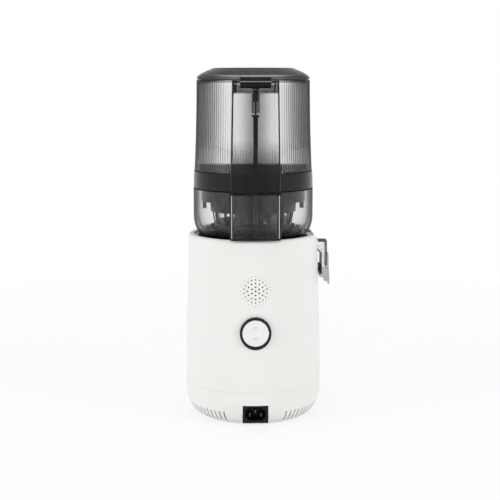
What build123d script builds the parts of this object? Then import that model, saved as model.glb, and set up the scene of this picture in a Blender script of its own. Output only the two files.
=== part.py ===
from build123d import *
import os
from math import acos, asin, atan2, cos, degrees, pi, radians, sin, sqrt, tan

# Slow (cold press) juicer: motor base, juicing chamber, hopper and hinged lid.
# Millimetres. +Z is up and the origin is on the drive axis, at the surface the juicer stands on.
# The back, with the switch and the mains inlet, faces -Y. The juice spout faces +X and the
# pulp chute faces +Y.

# ---------------------------------------------------------------- driving dimensions

GAP = 0.3               # between separate mouldings
FIT = 0.05              # radial play of a pin or shaft in its bore

# motor base
WALL = 2.5              # wall of the white mouldings
FOOT_LIFT = 1.5         # the base clears the table by this much
FOOT_HEIGHT = 3.0
FOOT_RADIUS = 8.0
FOOT_CIRCLE = 58.0
BELLY_RADIUS = 84.8     # widest radius of the base
BELLY_HEIGHT = 44.0
SHOULDER_RADIUS = 81.0  # radius at the rim of the base
RIM_HEIGHT = 228.8
RIM_ROUND = 4.5           # the shoulder is rounded over the wall and the deck's rim
SEAM_HEIGHT = 43.4
SEAM_GAP = 0.15
FLOOR = 3.5
ROUND_TOP = 34.0        # the rounded foot starts at this height
ROUND_WIDTH = 22.0      # it is a quarter ellipse, this wide
ROUND_HEIGHT = 34.0     # and this high
DECK_TOP = 216.5
DECK_THICK = 3.0
LEDGE_WIDTH = 3.0

# field of vent holes on the back
FIELD_HEIGHT = 168.0
FIELD_RINGS = ((0.0, 1, 1.05), (4.9, 6, 1.05), (9.7, 12, 0.95), (13.9, 18, 0.8), (17.9, 24, 0.45))

# vent slots round the foot
SLOT_WIDTH = 2.0
SLOT_LOW = 5.2
SLOT_HIGH = 17.6
SLOT_FIRST = 28.0       # degrees from the middle of the back
SLOT_PITCH = 4.5
SLOT_COUNT = 12

# rocker switch
SWITCH_HEIGHT = 117.0
BEZEL_RADIUS = 18.7
BEZEL_WALL = 1.7
BEZEL_FACE = 85.2       # distance of its face behind the drive axis
BEZEL_DEPTH = 18.0
BEZEL_LIP = 0.7
BEZEL_LIP_RISE = 1.4     # the lip stands past the bezel by this much above and below
ROCKER_RADIUS = 16.2
ROCKER_THICK = 5.2
ROCKER_SET_BACK = 0.8
ROCKER_PIN_RADIUS = 1.2

# mains inlet
INLET_WIDTH = 31.0
INLET_HEIGHT = 22.4
INLET_LOW = 5.2
INLET_FACE = 79.6
INLET_DEPTH = 24.0
INLET_WALL = 2.6

# chamber
CHAMBER_RADIUS = 74.3
CHAMBER_WALL = 2.6
CHAMBER_FLOOR = 224.5
CHAMBER_TOP = 284.6
BOWL_ROUND_WIDTH = 14.6
BOWL_ROUND_HEIGHT = 27.5
HUB_BORE = 17.5
HUB_WALL = 2.5
HUB_TOP = 240.0
BASE_RING_RADIUS = 66.0
LUG_RADIUS = 68.3         # the base ring's lugs reach up round the bowl
LUG_TOP = 227.0
LUG_HALF_ANGLE = 11.0

# back column, which houses the interlock rods
COLUMN_BACK = 85.0
COLUMN_WALL = 2.0
COLUMN_ROUND = 4.0
COLUMN_LOW_WIDTH = 61.0
COLUMN_MID_WIDTH = 59.4
COLUMN_TOP_WIDTH = 54.8
ROD_OFFSET = 78.0       # distance of the interlock rods behind the drive axis
BUTTON_OFFSET = 75.0

# hopper and lid
HOPPER_RING_TOP = 306.4
HOPPER_RING_LOW_RADIUS = 74.2
HOPPER_RING_TOP_RADIUS = 73.5
HOPPER_LOW_RADIUS = 72.8
HOPPER_TOP_RADIUS = 69.7
HOPPER_TOP = 417.5
HOPPER_WALL = 2.2
FEED_RADIUS = 50.0
LID_RADIUS = 69.2
LID_FLAT_RADIUS = 48.8
LID_RIM = HOPPER_TOP + GAP
LID_RISE = 14.2
LID_TOP = LID_RIM + LID_RISE
LID_WALL = 2.2
POCKET_HALF = 22.4
POCKET_DEPTH = 13.5
POCKET_FLOOR = HOPPER_TOP - POCKET_DEPTH
HINGE_DROP = 5.2
HINGE_HEIGHT = HOPPER_TOP - HINGE_DROP
HINGE_BAR_RADIUS = 4.05
HINGE_BAR_HALF = 18.0
HINGE_PIN_RADIUS = 1.5
CAM_RADIUS = 5.2

# juice spout and its drip-stop lever
SPOUT_HALF = 11.0
SPOUT_WALL = 1.4
SPOUT_TOP = 218.5
SPOUT_BACK = 84.4       # distance of the nozzle's inner face from the drive axis
SPOUT_FACE = 91.9       # distance of its outer face
SPOUT_MOUTH = 183.2
PIVOT_X = 83.4
PIVOT_Z = 209.6
PIVOT_RADIUS = 2.2
LEVER_EYE = 4.1
LEVER_WALL = 2.0
LEVER_END = SPOUT_MOUTH - 19.6
CHUTE_MOUTH = 186.0
CHUTE_HALF = 16.0

# drive train
GEAR_ANGLE = 25.0       # pressure angle
BACKLASH = 0.12
MODULE_ONE = 0.8        # motor pinion and layshaft gear
PINION_ONE = 12
GEAR_ONE = 72
MODULE_TWO = 1.0        # layshaft pinion and output gear
PINION_TWO = 12
GEAR_TWO = 66
LAYSHAFT_Y = MODULE_TWO * (PINION_TWO + GEAR_TWO) / 2
MOTOR_Y = LAYSHAFT_Y - MODULE_ONE * (PINION_ONE + GEAR_ONE) / 2
CASE_FLOOR = 118.0
CASE_PLATE = 150.0
PLATE_THICK = 4.0
CASE_COVER = CASE_PLATE + PLATE_THICK
COVER_DEPTH = 24.0
CASE_ROOF = CASE_COVER + COVER_DEPTH
CASE_WALL = 3.0
CASE_SKIN = 4.0
EARS = ((-40.0, -22.0), (40.0, -22.0), (-40.0, 52.0), (40.0, 52.0))
EAR_RADIUS = 6.0
SCREW_RADIUS = 2.0
SHAFT_RADIUS = 6.0
HEX_FLATS = 10.0
HEX_TOP = 250.0
LAYSHAFT_RADIUS = 4.0
MOTOR_SHAFT_RADIUS = 4.0
MOTOR_RADIUS = 38.0
MOTOR_LOW = 44.0
ROTOR_RADIUS = 22.0
AIR_GAP = 0.6

os.makedirs("parts", exist_ok=True)


# ---------------------------------------------------------------- shared shapes

def disc(radius, low, high, centre=(0, 0), mode=Mode.ADD):
    """A round bar about an upright axis, between two heights."""
    with BuildSketch(Plane.XY.offset(low)) as outline:
        with Locations(centre):
            Circle(radius)
    extrude(outline.sketch, amount=high - low, mode=mode)


def ring(outer, inner, low, high, centre=(0, 0), mode=Mode.ADD):
    """A round tube about an upright axis, between two heights."""
    with BuildSketch(Plane.XY.offset(low)) as outline:
        with Locations(centre):
            Circle(outer)
            Circle(inner, mode=Mode.SUBTRACT)
    extrude(outline.sketch, amount=high - low, mode=mode)


def block(x, y, z, mode=Mode.ADD):
    """A rectangular block between two limits along each axis."""
    with BuildSketch(Plane.XY.offset(z[0])) as outline:
        with Locations(((x[0] + x[1]) / 2, (y[0] + y[1]) / 2)):
            Rectangle(x[1] - x[0], y[1] - y[0])
    extrude(outline.sketch, amount=z[1] - z[0], mode=mode)


def bar(radius, start, end, mode=Mode.ADD):
    """A round bar between two points."""
    reach = Vector(*end) - Vector(*start)
    with BuildSketch(Plane(origin=start, z_dir=reach)) as outline:
        Circle(radius)
    extrude(outline.sketch, amount=reach.length, mode=mode)


def turned(points, centre=(0, 0), mode=Mode.ADD):
    """A solid turned about an upright axis from (radius, height) points."""
    axis = Axis((centre[0], centre[1], 0), (0, 0, 1))
    upright = Plane(origin=(centre[0], centre[1], 0), x_dir=(1, 0, 0), z_dir=(0, -1, 0))
    with BuildSketch(upright) as outline:
        with BuildLine():
            Polyline(*points, close=True)
        make_face()
    revolve(outline.sketch, axis=axis, mode=mode)


def slab(plane, points, half, mode=Mode.ADD):
    """A flat plate of the outline given by points, half its thickness each side of the plane."""
    with BuildSketch(plane) as outline:
        with BuildLine():
            Polyline(*points, close=True)
        make_face()
    extrude(outline.sketch, amount=half, both=True, mode=mode)


def save(name, part):
    """Labels a finished piece and writes its STEP file."""
    part.part.label = name
    export_step(part.part, f"parts/{name}.step")


# ---------------------------------------------------------------- base mouldings

ELLIPSE_X = BELLY_RADIUS - ROUND_WIDTH


def foot_solid(inset, bottom, top, mode=Mode.ADD):
    """The rounded foot as a solid, set in from the outside by inset."""
    start = degrees(asin((bottom - ROUND_TOP) / ROUND_HEIGHT))
    with BuildSketch(Plane.XZ) as outline:
        with BuildLine():
            side = EllipticalCenterArc(
                (ELLIPSE_X - inset, ROUND_TOP),
                ROUND_WIDTH,
                ROUND_HEIGHT,
                start_angle=start,
                arc_size=-start,
            )
            Polyline(side @ 0, (0, bottom), (0, top), (BELLY_RADIUS - inset, top), side @ 1)
        make_face()
    revolve(outline.sketch, axis=Axis.Z, mode=mode)


def body_solid(inset, bottom, top, mode=Mode.ADD):
    """The tall housing as a solid, set in from the outside by inset."""
    lower = (BELLY_RADIUS - inset, bottom)
    upper = (SHOULDER_RADIUS - inset, top)
    span = upper[1] - lower[1]
    fall = lower[0] - upper[0]
    with BuildSketch(Plane.XZ) as outline:
        with BuildLine():
            swell = TangentArc(lower, (lower[0] - fall / 2, lower[1] + span / 2), tangent=(0, 1))
            rise = TangentArc(swell @ 1, upper, tangent=swell % 1)
            Polyline(rise @ 1, (0, upper[1]), (0, lower[1]), lower)
        make_face()
    revolve(outline.sketch, axis=Axis.Z, mode=mode)


SCREW_CIRCLE = 64.0
SCREW_ANGLES = (30, 150, 210, 330)


def polar(radius, angle):
    """The point at a radius and an angle from +X."""
    return (radius * cos(radians(angle)), radius * sin(radians(angle)))


FOOT_ANGLES = (60, 120, 240, 300)
FOOT_PLACES = ((0, 0),) + tuple(polar(FOOT_CIRCLE, angle) for angle in FOOT_ANGLES)
BOSS_RADIUS = 5.0
BOSS_HIGH = 72.0
BASE_SCREW_RADIUS = 1.75
BASE_SCREW_HEAD = 3.5
BASE_SCREW_TOP = 62.0
INNER_RADIUS = SHOULDER_RADIUS - WALL
DECK_RADIUS = INNER_RADIUS - GAP
DECK_LOW = DECK_TOP - DECK_THICK
NOTCH_LOW = 200.0
NOTCH_HALF = 16.5
NOTCH_FLARE = 27.0
CHUTE_NOTCH_LOW = 196.0
CHUTE_NOTCH_HALF = CHUTE_HALF + 5.0
CHUTE_NOTCH_FLARE = CHUTE_NOTCH_HALF + 9.0
NOTCH_DROP = 19.8
NOTCH_KNEE = RIM_HEIGHT - NOTCH_DROP


def notch(plane, half, flare, low, near, far):
    """Cuts a flared notch through the rim, for a duct that crosses it."""
    points = (
        (-flare, RIM_HEIGHT + 5),
        (-flare, RIM_HEIGHT),
        (-half, NOTCH_KNEE),
        (-half, low),
        (half, low),
        (half, NOTCH_KNEE),
        (flare, RIM_HEIGHT),
        (flare, RIM_HEIGHT + 5),
    )
    with BuildSketch(plane.offset(near)) as outline:
        with BuildLine():
            Polyline(*points, close=True)
        make_face()
    extrude(outline.sketch, amount=far - near, mode=Mode.SUBTRACT)


# Upper housing: one tall wall with a rounded rim, a ledge for the deck and four screw bosses.
FRONT = Plane(origin=(0, 0, 0), x_dir=(-1, 0, 0), z_dir=(0, 1, 0))
with BuildPart() as base_housing:
    body_solid(0, SEAM_HEIGHT + SEAM_GAP, RIM_HEIGHT)
    fillet(base_housing.edges().group_by(Axis.Z)[-1], RIM_ROUND)
    body_solid(WALL, SEAM_HEIGHT + SEAM_GAP, RIM_HEIGHT, mode=Mode.SUBTRACT)
    ring(INNER_RADIUS + 1, INNER_RADIUS - LEDGE_WIDTH, DECK_LOW - GAP - 3, DECK_LOW - GAP)
    for angle in SCREW_ANGLES:
        centre = polar(SCREW_CIRCLE, angle)
        disc(BOSS_RADIUS, SEAM_HEIGHT + SEAM_GAP, BOSS_HIGH, centre)
        with BuildSketch(Plane.XY.offset(SEAM_HEIGHT + SEAM_GAP)) as web:
            with Locations(Location((*polar(SCREW_CIRCLE + 10.5, angle), 0), (0, 0, angle))):
                Rectangle(17, 2.4)
        extrude(web.sketch, amount=BOSS_HIGH - SEAM_HEIGHT - SEAM_GAP)
        disc(BASE_SCREW_RADIUS + FIT, SEAM_HEIGHT, BASE_SCREW_TOP + 1, centre, Mode.SUBTRACT)
    ledge = (DECK_LOW - 5, DECK_LOW)
    block((60, INNER_RADIUS), (-SPOUT_HALF - 5, SPOUT_HALF + 5), ledge, Mode.SUBTRACT)
    block((-CHUTE_HALF - 5, CHUTE_HALF + 5), (60, INNER_RADIUS), ledge, Mode.SUBTRACT)
    block((-14, 14), (-INNER_RADIUS, -60), ledge, Mode.SUBTRACT)
    notch(Plane.YZ, NOTCH_HALF, NOTCH_FLARE, NOTCH_LOW, 60, 95)
    notch(FRONT, CHUTE_NOTCH_HALF, CHUTE_NOTCH_FLARE, CHUTE_NOTCH_LOW, 60, 95)
    bar(
        BEZEL_RADIUS + GAP,
        (0, -60, SWITCH_HEIGHT),
        (0, -95, SWITCH_HEIGHT),
        Mode.SUBTRACT,
    )
    for radius, count, hole in FIELD_RINGS:
        with BuildSketch(Plane.XZ.offset(60)) as holes:
            with Locations((0, FIELD_HEIGHT)):
                with PolarLocations(radius, count, start_angle=90):
                    Circle(hole)
        extrude(holes.sketch, amount=30, mode=Mode.SUBTRACT)
save("base_housing", base_housing)

# Lower shell: the rounded foot with its floor, screw posts, board rests, vent slots and the
# flat pad round the mains inlet.
FLOOR_TOP = FOOT_LIFT + FLOOR
POST_TOP = SEAM_HEIGHT - SEAM_GAP
BOARD_Y = -50.0
BOARD_THICK = 1.6
BOARD_HALF = 34.0
BOARD_LOW = 42.0
BOARD_HIGH = 88.0
PAD_HALF = INLET_WIDTH / 2 + 1.6
PAD_LOW = INLET_LOW - 1.2
PAD_HIGH = INLET_LOW + INLET_HEIGHT + 1.6
with BuildPart() as lower_shell:
    foot_solid(0, FOOT_LIFT, SEAM_HEIGHT)
    foot_solid(WALL, FLOOR_TOP, SEAM_HEIGHT, mode=Mode.SUBTRACT)
    block((-PAD_HALF, PAD_HALF), (-INLET_FACE, -68), (PAD_LOW, PAD_HIGH))
    for angle in SCREW_ANGLES:
        centre = polar(SCREW_CIRCLE, angle)
        disc(BOSS_RADIUS, FOOT_LIFT, POST_TOP, centre)
        disc(BASE_SCREW_RADIUS + GAP, 0, POST_TOP, centre, Mode.SUBTRACT)
        disc(BASE_SCREW_HEAD + GAP, 0, FOOT_LIFT + 6, centre, Mode.SUBTRACT)
    for place in FOOT_PLACES:
        disc(FOOT_RADIUS + GAP, 0, FOOT_HEIGHT, place, Mode.SUBTRACT)
    for side in (-1, 1):
        rest = side * (BOARD_HALF - 4)
        block((rest - 4, rest + 4), (BOARD_Y - 4, BOARD_Y + 4), (FLOOR_TOP - 1, BOARD_LOW + 2))
        block(
            (rest - 5, rest + 5),
            (BOARD_Y - BOARD_THICK / 2 - 0.1, BOARD_Y + BOARD_THICK / 2 + 0.1),
            (BOARD_LOW, BOARD_LOW + 3),
            Mode.SUBTRACT,
        )
        for step in range(SLOT_COUNT):
            angle = -90 + side * (SLOT_FIRST + step * SLOT_PITCH)
            with BuildSketch(Plane.XY.offset(SLOT_LOW)) as slot:
                with Locations(Location((*polar(80, angle), 0), (0, 0, angle))):
                    Rectangle(19, SLOT_WIDTH)
            extrude(slot.sketch, amount=SLOT_HIGH - SLOT_LOW, mode=Mode.SUBTRACT)
    block(
        (-INLET_WIDTH / 2 - 0.1, INLET_WIDTH / 2 + 0.1),
        (-95, -60),
        (INLET_LOW - 0.1, INLET_LOW + INLET_HEIGHT + 0.1),
        Mode.SUBTRACT,
    )
save("lower_shell", lower_shell)

with BuildPart() as rubber_feet:
    for place in FOOT_PLACES:
        disc(FOOT_RADIUS, 0, FOOT_HEIGHT, place)
    fillet(rubber_feet.edges().group_by(Axis.Z)[0], 0.6)
save("rubber_feet", rubber_feet)

with BuildPart() as base_screws:
    for angle in SCREW_ANGLES:
        centre = polar(SCREW_CIRCLE, angle)
        disc(BASE_SCREW_RADIUS, FOOT_LIFT + 6, BASE_SCREW_TOP, centre)
        disc(BASE_SCREW_HEAD, FOOT_LIFT + 3.4, FOOT_LIFT + 6, centre)
        disc(1.2, FOOT_LIFT + 3, FOOT_LIFT + 4.6, centre, Mode.SUBTRACT)
save("base_screws", base_screws)

# Deck: the floor of the recess that the chamber stands in, with a raised seal seat, a trough
# for each duct, the shelf of the interlock button and four posts that carry the gearbox.
SEAL_RADIUS = 11.0
SEAT_TOP = 223.0
SHELF_HALF = 8.0
SHELF_TOP = RIM_HEIGHT - 0.4
STEP_TOP = 226.0          # the deck's rim steps down to this height
STEP_INNER = 69.4
CREST_INNER = 73.2        # inner radius of the rim above the step
CREST_ROUND = 0.9
BUTTON_RADIUS = 2.2
TROUGH_WALL = 2.0
SPOUT_TROUGH = ((62.5, 218), (62.5, 214.5), (79, 201), (92, 201), (92, 218))
CHUTE_TROUGH = ((60.5, 218), (60.5, 211.5), (76, 198), (92, 198), (92, 218))
SWITCH_HALF = 8.0
SWITCH_DEPTH = 2.5
SWITCH_TOP = 206.5
SWITCH_LOW = 196.0


def trough(plane, cut, half):
    """A sloping trough under the deck: the same outline grown by a wall, then cut out."""
    floor = min(z for _, z in cut) - TROUGH_WALL
    near = cut[0][0] - TROUGH_WALL
    shell = ((near, DECK_TOP), (near, cut[1][1] - 1), (cut[2][0] - 2, floor), (79, floor), (79, DECK_TOP))
    slab(plane, shell, half + TROUGH_WALL)
    slab(plane, cut, half, Mode.SUBTRACT)


def rim_gap(plane, half, flare):
    """Carries a housing notch on through the deck's raised rim."""
    rise = (DECK_TOP - NOTCH_KNEE) / (RIM_HEIGHT - NOTCH_KNEE)
    low = half + (flare - half) * rise
    points = (
        (-flare, RIM_HEIGHT + 5),
        (-flare, RIM_HEIGHT),
        (-low, DECK_TOP),
        (low, DECK_TOP),
        (flare, RIM_HEIGHT),
        (flare, RIM_HEIGHT + 5),
    )
    with BuildSketch(plane.offset(60)) as outline:
        with BuildLine():
            Polyline(*points, close=True)
        make_face()
    extrude(outline.sketch, amount=35, mode=Mode.SUBTRACT)


with BuildPart() as base_deck:
    disc(DECK_RADIUS, DECK_LOW, DECK_TOP)
    ring(DECK_RADIUS, STEP_INNER, DECK_TOP - 1, STEP_TOP)
    ring(DECK_RADIUS, CREST_INNER, STEP_TOP - 1, SHELF_TOP)
    crest = base_deck.edges().filter_by(GeomType.CIRCLE).group_by(Axis.Z)[-1]
    fillet(crest.sort_by(SortBy.RADIUS)[0], CREST_ROUND)
    rim_gap(Plane.YZ, NOTCH_HALF, NOTCH_FLARE)
    rim_gap(FRONT, CHUTE_NOTCH_HALF, CHUTE_NOTCH_FLARE)
    trough(Plane.XZ, SPOUT_TROUGH, SPOUT_HALF + 1.6)
    trough(Plane.YZ, CHUTE_TROUGH, CHUTE_HALF + 1.6)
    block((-SHELF_HALF, SHELF_HALF), (-DECK_RADIUS, -69.5), (DECK_LOW, SHELF_TOP))
    disc(SEAL_RADIUS + 3, DECK_LOW, SEAT_TOP)
    for x, y in EARS:
        disc(EAR_RADIUS - 1, CASE_ROOF + GAP, DECK_LOW, (x, y))
        disc(SCREW_RADIUS + FIT, CASE_ROOF, CASE_ROOF + 22, (x, y), Mode.SUBTRACT)
    for side in (-1, 1):
        edge = side * (SWITCH_HALF + 0.2)
        block(
            (min(edge, edge + 2 * side), max(edge, edge + 2 * side)),
            (-BUTTON_OFFSET - 3, -BUTTON_OFFSET + 3),
            (SWITCH_LOW, DECK_LOW),
        )
    with BuildSketch(Plane.XY.offset(DECK_LOW - 40)) as inside:
        Circle(DECK_RADIUS)
    extrude(inside.sketch, amount=80, mode=Mode.INTERSECT)
    disc(SEAL_RADIUS, DECK_LOW + 1.5, SEAT_TOP, mode=Mode.SUBTRACT)
    disc(SHAFT_RADIUS + 1, DECK_LOW, SEAT_TOP, mode=Mode.SUBTRACT)
    disc(BUTTON_RADIUS + 0.15, DECK_LOW, SHELF_TOP, (0, -BUTTON_OFFSET), Mode.SUBTRACT)
save("base_deck", base_deck)

with BuildPart() as shaft_seal:
    ring(SEAL_RADIUS - FIT, SHAFT_RADIUS + 1.4, DECK_LOW + 1.6, DECK_LOW + 3.2)
    ring(SEAL_RADIUS - FIT, SEAL_RADIUS - 1.5, DECK_LOW + 1.6, SEAT_TOP - 1)
    turned(
        (
            (SEAL_RADIUS - FIT, SEAT_TOP - 1),
            (SHAFT_RADIUS + FIT, SEAT_TOP - 2.5),
            (SHAFT_RADIUS + FIT, SEAT_TOP - 3.5),
            (SEAL_RADIUS - FIT, SEAT_TOP - 3),
        )
    )
save("shaft_seal", shaft_seal)

# ---------------------------------------------------------------- inlet, switch and board

INLET_MID = INLET_LOW + INLET_HEIGHT / 2
SOCKET_HALF = 12.3
SOCKET_LOW = INLET_MID - 8.2
SOCKET_HIGH = INLET_MID + 8.2
SOCKET_DEPTH = 17.0
with BuildPart() as inlet_socket:
    block(
        (-INLET_WIDTH / 2, INLET_WIDTH / 2),
        (-INLET_FACE - 0.8, -INLET_FACE + INLET_DEPTH),
        (INLET_LOW, INLET_LOW + INLET_HEIGHT),
    )
    with BuildSketch(Plane.XZ.offset(INLET_FACE + 1)) as opening:
        with Locations((0, INLET_MID)):
            Rectangle(2 * SOCKET_HALF, SOCKET_HIGH - SOCKET_LOW)
        chamfer(opening.vertices().group_by(Axis.Z)[-1], 4.6)
    extrude(opening.sketch, amount=-SOCKET_DEPTH, mode=Mode.SUBTRACT)
save("inlet_socket", inlet_socket)

PINS = ((-7.0, INLET_MID - 2.0), (0.0, INLET_MID + 2.2), (7.0, INLET_MID - 2.0))
SOCKET_BACK = INLET_FACE + 1 - SOCKET_DEPTH
with BuildPart() as inlet_pins:
    for x, z in PINS:
        block((x - 1, x + 1), (-SOCKET_BACK - 13, -SOCKET_BACK), (z - 2, z + 2))
    fillet(inlet_pins.edges().filter_by(Axis.Z).group_by(Axis.Y)[0], 0.7)
save("inlet_pins", inlet_pins)

BEZEL_INNER = BEZEL_RADIUS - BEZEL_WALL
ROCKER_FACE = BEZEL_FACE - ROCKER_SET_BACK
ROCKER_AXIS = ROCKER_FACE - 3.2
with BuildPart() as switch_bezel:
    with BuildSketch(Plane.XZ.offset(BEZEL_FACE - BEZEL_DEPTH)) as tube:
        with Locations((0, SWITCH_HEIGHT)):
            Circle(BEZEL_RADIUS)
            Circle(BEZEL_INNER, mode=Mode.SUBTRACT)
    extrude(tube.sketch, amount=BEZEL_DEPTH)
    with BuildSketch(Plane.XZ.offset(BEZEL_FACE - BEZEL_LIP)) as lip:
        with Locations((0, SWITCH_HEIGHT)):
            Ellipse(BEZEL_RADIUS + 0.15, BEZEL_RADIUS + BEZEL_LIP_RISE)
            Circle(BEZEL_INNER, mode=Mode.SUBTRACT)
    extrude(lip.sketch, amount=BEZEL_LIP)
    fillet(switch_bezel.edges().group_by(Axis.Y)[0], 0.3)
    bar(
        ROCKER_PIN_RADIUS + FIT,
        (-25, -ROCKER_AXIS, SWITCH_HEIGHT),
        (25, -ROCKER_AXIS, SWITCH_HEIGHT),
        Mode.SUBTRACT,
    )
save("switch_bezel", switch_bezel)

with BuildPart() as rocker_button:
    bar(
        ROCKER_RADIUS,
        (0, -ROCKER_FACE + ROCKER_THICK, SWITCH_HEIGHT),
        (0, -ROCKER_FACE, SWITCH_HEIGHT),
    )
    fillet(rocker_button.edges().group_by(Axis.Y)[0], 0.8)
    bar(
        ROCKER_PIN_RADIUS,
        (-BEZEL_RADIUS + 0.3, -ROCKER_AXIS, SWITCH_HEIGHT),
        (BEZEL_RADIUS - 0.3, -ROCKER_AXIS, SWITCH_HEIGHT),
    )
    block(
        (-2.5, 2.5),
        (-ROCKER_FACE + ROCKER_THICK - 1, -ROCKER_FACE + ROCKER_THICK + 2.4),
        (SWITCH_HEIGHT - 2.5, SWITCH_HEIGHT + 2.5),
    )
save("rocker_button", rocker_button)

SWITCH_FRONT = BEZEL_FACE - 9.0
with BuildPart() as switch_body:
    bar(
        BEZEL_INNER - 0.2,
        (0, -SWITCH_FRONT + 17, SWITCH_HEIGHT),
        (0, -SWITCH_FRONT, SWITCH_HEIGHT),
    )
    for x in (-7, 0, 7):
        for z in (-6, 6):
            block(
                (x - 0.4, x + 0.4),
                (-SWITCH_FRONT + 16, -SWITCH_FRONT + 24),
                (SWITCH_HEIGHT + z - 2.4, SWITCH_HEIGHT + z + 2.4),
            )
save("switch_body", switch_body)

with BuildPart() as control_board:
    block(
        (-BOARD_HALF, BOARD_HALF),
        (BOARD_Y - BOARD_THICK / 2, BOARD_Y + BOARD_THICK / 2),
        (BOARD_LOW + 0.05, BOARD_HIGH),
    )
save("control_board", control_board)

BOARD_BACK = BOARD_Y - BOARD_THICK / 2
with BuildPart() as board_parts:
    bar(7.5, (-20, BOARD_BACK, 70), (-20, BOARD_BACK - 16, 70))
    bar(5.0, (-4, BOARD_BACK, 74), (-4, BOARD_BACK - 11, 74))
    block((8, 27), (BOARD_BACK - 14, BOARD_BACK), (62, 77))
    block((-28, 10), (BOARD_BACK - 6, BOARD_BACK), (48, 58))
    block((16, 28), (BOARD_BACK - 9, BOARD_BACK), (47, 57))
save("board_parts", board_parts)

with BuildPart() as interlock_switch:
    block(
        (-SWITCH_HALF, SWITCH_HALF),
        (-BUTTON_OFFSET - SWITCH_DEPTH, -BUTTON_OFFSET + SWITCH_DEPTH),
        (SWITCH_LOW, SWITCH_TOP),
    )
    disc(1.2, SWITCH_TOP - 1, SWITCH_TOP + 1.7, (0, -BUTTON_OFFSET))
save("interlock_switch", interlock_switch)

BUTTON_TOP = RIM_HEIGHT - 0.2
with BuildPart() as interlock_button:
    disc(BUTTON_RADIUS, SWITCH_TOP + 2, BUTTON_TOP, (0, -BUTTON_OFFSET))
    disc(2.8, SWITCH_TOP + 2, SWITCH_TOP + 4, (0, -BUTTON_OFFSET))
    fillet(interlock_button.edges().group_by(Axis.Z)[-1], 0.5)
save("interlock_button", interlock_button)

# ---------------------------------------------------------------- motor

MOTOR = (0, MOTOR_Y)
CAN_TOP = CASE_FLOOR
CAN_LOW = MOTOR_LOW + 6.0
CAN_SKIN = 1.2
MOTOR_BEARING = 9.0
STACK_LOW = 62.0
STACK_HIGH = 102.0
with BuildPart() as motor_can:
    ring(MOTOR_RADIUS, MOTOR_RADIUS - CAN_SKIN, CAN_LOW, CAN_TOP, MOTOR)
    ring(MOTOR_RADIUS - 0.5, MOTOR_BEARING + FIT, CAN_TOP - 3, CAN_TOP, MOTOR)
    ring(MOTOR_BEARING + 2.5, MOTOR_BEARING + FIT, CAN_TOP - 7, CAN_TOP - 2, MOTOR)
    for side in (-1, 1):
        disc(1.7, CAN_TOP - 4, CAN_TOP, (side * 20, MOTOR_Y), Mode.SUBTRACT)
    for angle in range(0, 360, 60):
        middle = polar(MOTOR_RADIUS, angle)
        with BuildSketch(Plane.XY.offset(CAN_LOW + 3)) as window:
            with Locations(Location((middle[0], middle[1] + MOTOR_Y, 0), (0, 0, angle))):
                Rectangle(6, 14)
        extrude(window.sketch, amount=7, mode=Mode.SUBTRACT)
save("motor_can", motor_can)

with BuildPart() as motor_end_plate:
    ring(MOTOR_RADIUS, MOTOR_BEARING + FIT, MOTOR_LOW + 3, CAN_LOW, MOTOR)
    ring(MOTOR_BEARING + 2.5, MOTOR_BEARING + FIT, MOTOR_LOW, CAN_LOW + 1, MOTOR)
    for angle in range(45, 405, 90):
        hole = polar(23, angle)
        disc(8, MOTOR_LOW, CAN_LOW + 1, (hole[0], hole[1] + MOTOR_Y), Mode.SUBTRACT)
save("motor_end_plate", motor_end_plate)

with BuildPart() as stator_core:
    with BuildSketch(Plane.XY.offset(STACK_LOW)) as lamination:
        with Locations(MOTOR):
            Circle(MOTOR_RADIUS - CAN_SKIN - 0.1)
            Circle(ROTOR_RADIUS + AIR_GAP, mode=Mode.SUBTRACT)
            with PolarLocations(29.5, 4, start_angle=45):
                Rectangle(5, 16, mode=Mode.SUBTRACT)
    extrude(lamination.sketch, amount=STACK_HIGH - STACK_LOW)
save("stator_core", stator_core)

with BuildPart() as field_windings:
    for angle in range(45, 405, 90):
        with BuildSketch(Plane.XY.offset(STACK_LOW - 5)) as coil:
            with Locations(Location((*polar(29.5, angle), 0), (0, 0, angle))):
                with Locations((0, 0)):
                    Rectangle(4.4, 15.4)
        extrude(coil.sketch.moved(Location((0, MOTOR_Y, 0))), amount=STACK_HIGH - STACK_LOW + 10)
    ring(32.5, 26.5, STACK_HIGH + 2, STACK_HIGH + 7, MOTOR)
    ring(32.5, 26.5, STACK_LOW - 7, STACK_LOW - 2, MOTOR)
save("field_windings", field_windings)


def bearing(bore, outside, low, high, centre):
    """A ball bearing drawn as one ring with a groove round each face."""
    ring(outside, bore, low, high, centre)
    middle = (bore + outside) / 2
    wide = (outside - bore) / 5
    ring(middle + wide, middle - wide, high - 0.6, high, centre, Mode.SUBTRACT)
    ring(middle + wide, middle - wide, low, low + 0.6, centre, Mode.SUBTRACT)


with BuildPart() as motor_bearings:
    bearing(MOTOR_SHAFT_RADIUS + FIT, MOTOR_BEARING, CAN_TOP - 7, CAN_TOP, MOTOR)
    bearing(MOTOR_SHAFT_RADIUS + FIT, MOTOR_BEARING, MOTOR_LOW, MOTOR_LOW + 7, MOTOR)
save("motor_bearings", motor_bearings)

PINION_LOW = 126.0
PINION_HIGH = 140.0
PINION_BORE = 1.9
FAN_LOW = 28.0
FAN_HIGH = 38.0
with BuildPart() as motor_shaft:
    disc(MOTOR_SHAFT_RADIUS, FAN_LOW - 3, PINION_LOW - 0.1, MOTOR)
    disc(PINION_BORE, PINION_LOW - 1, PINION_HIGH + 2, MOTOR)
    chamfer(motor_shaft.edges().group_by(Axis.Z)[-1], 0.5)
save("motor_shaft", motor_shaft)

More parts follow.
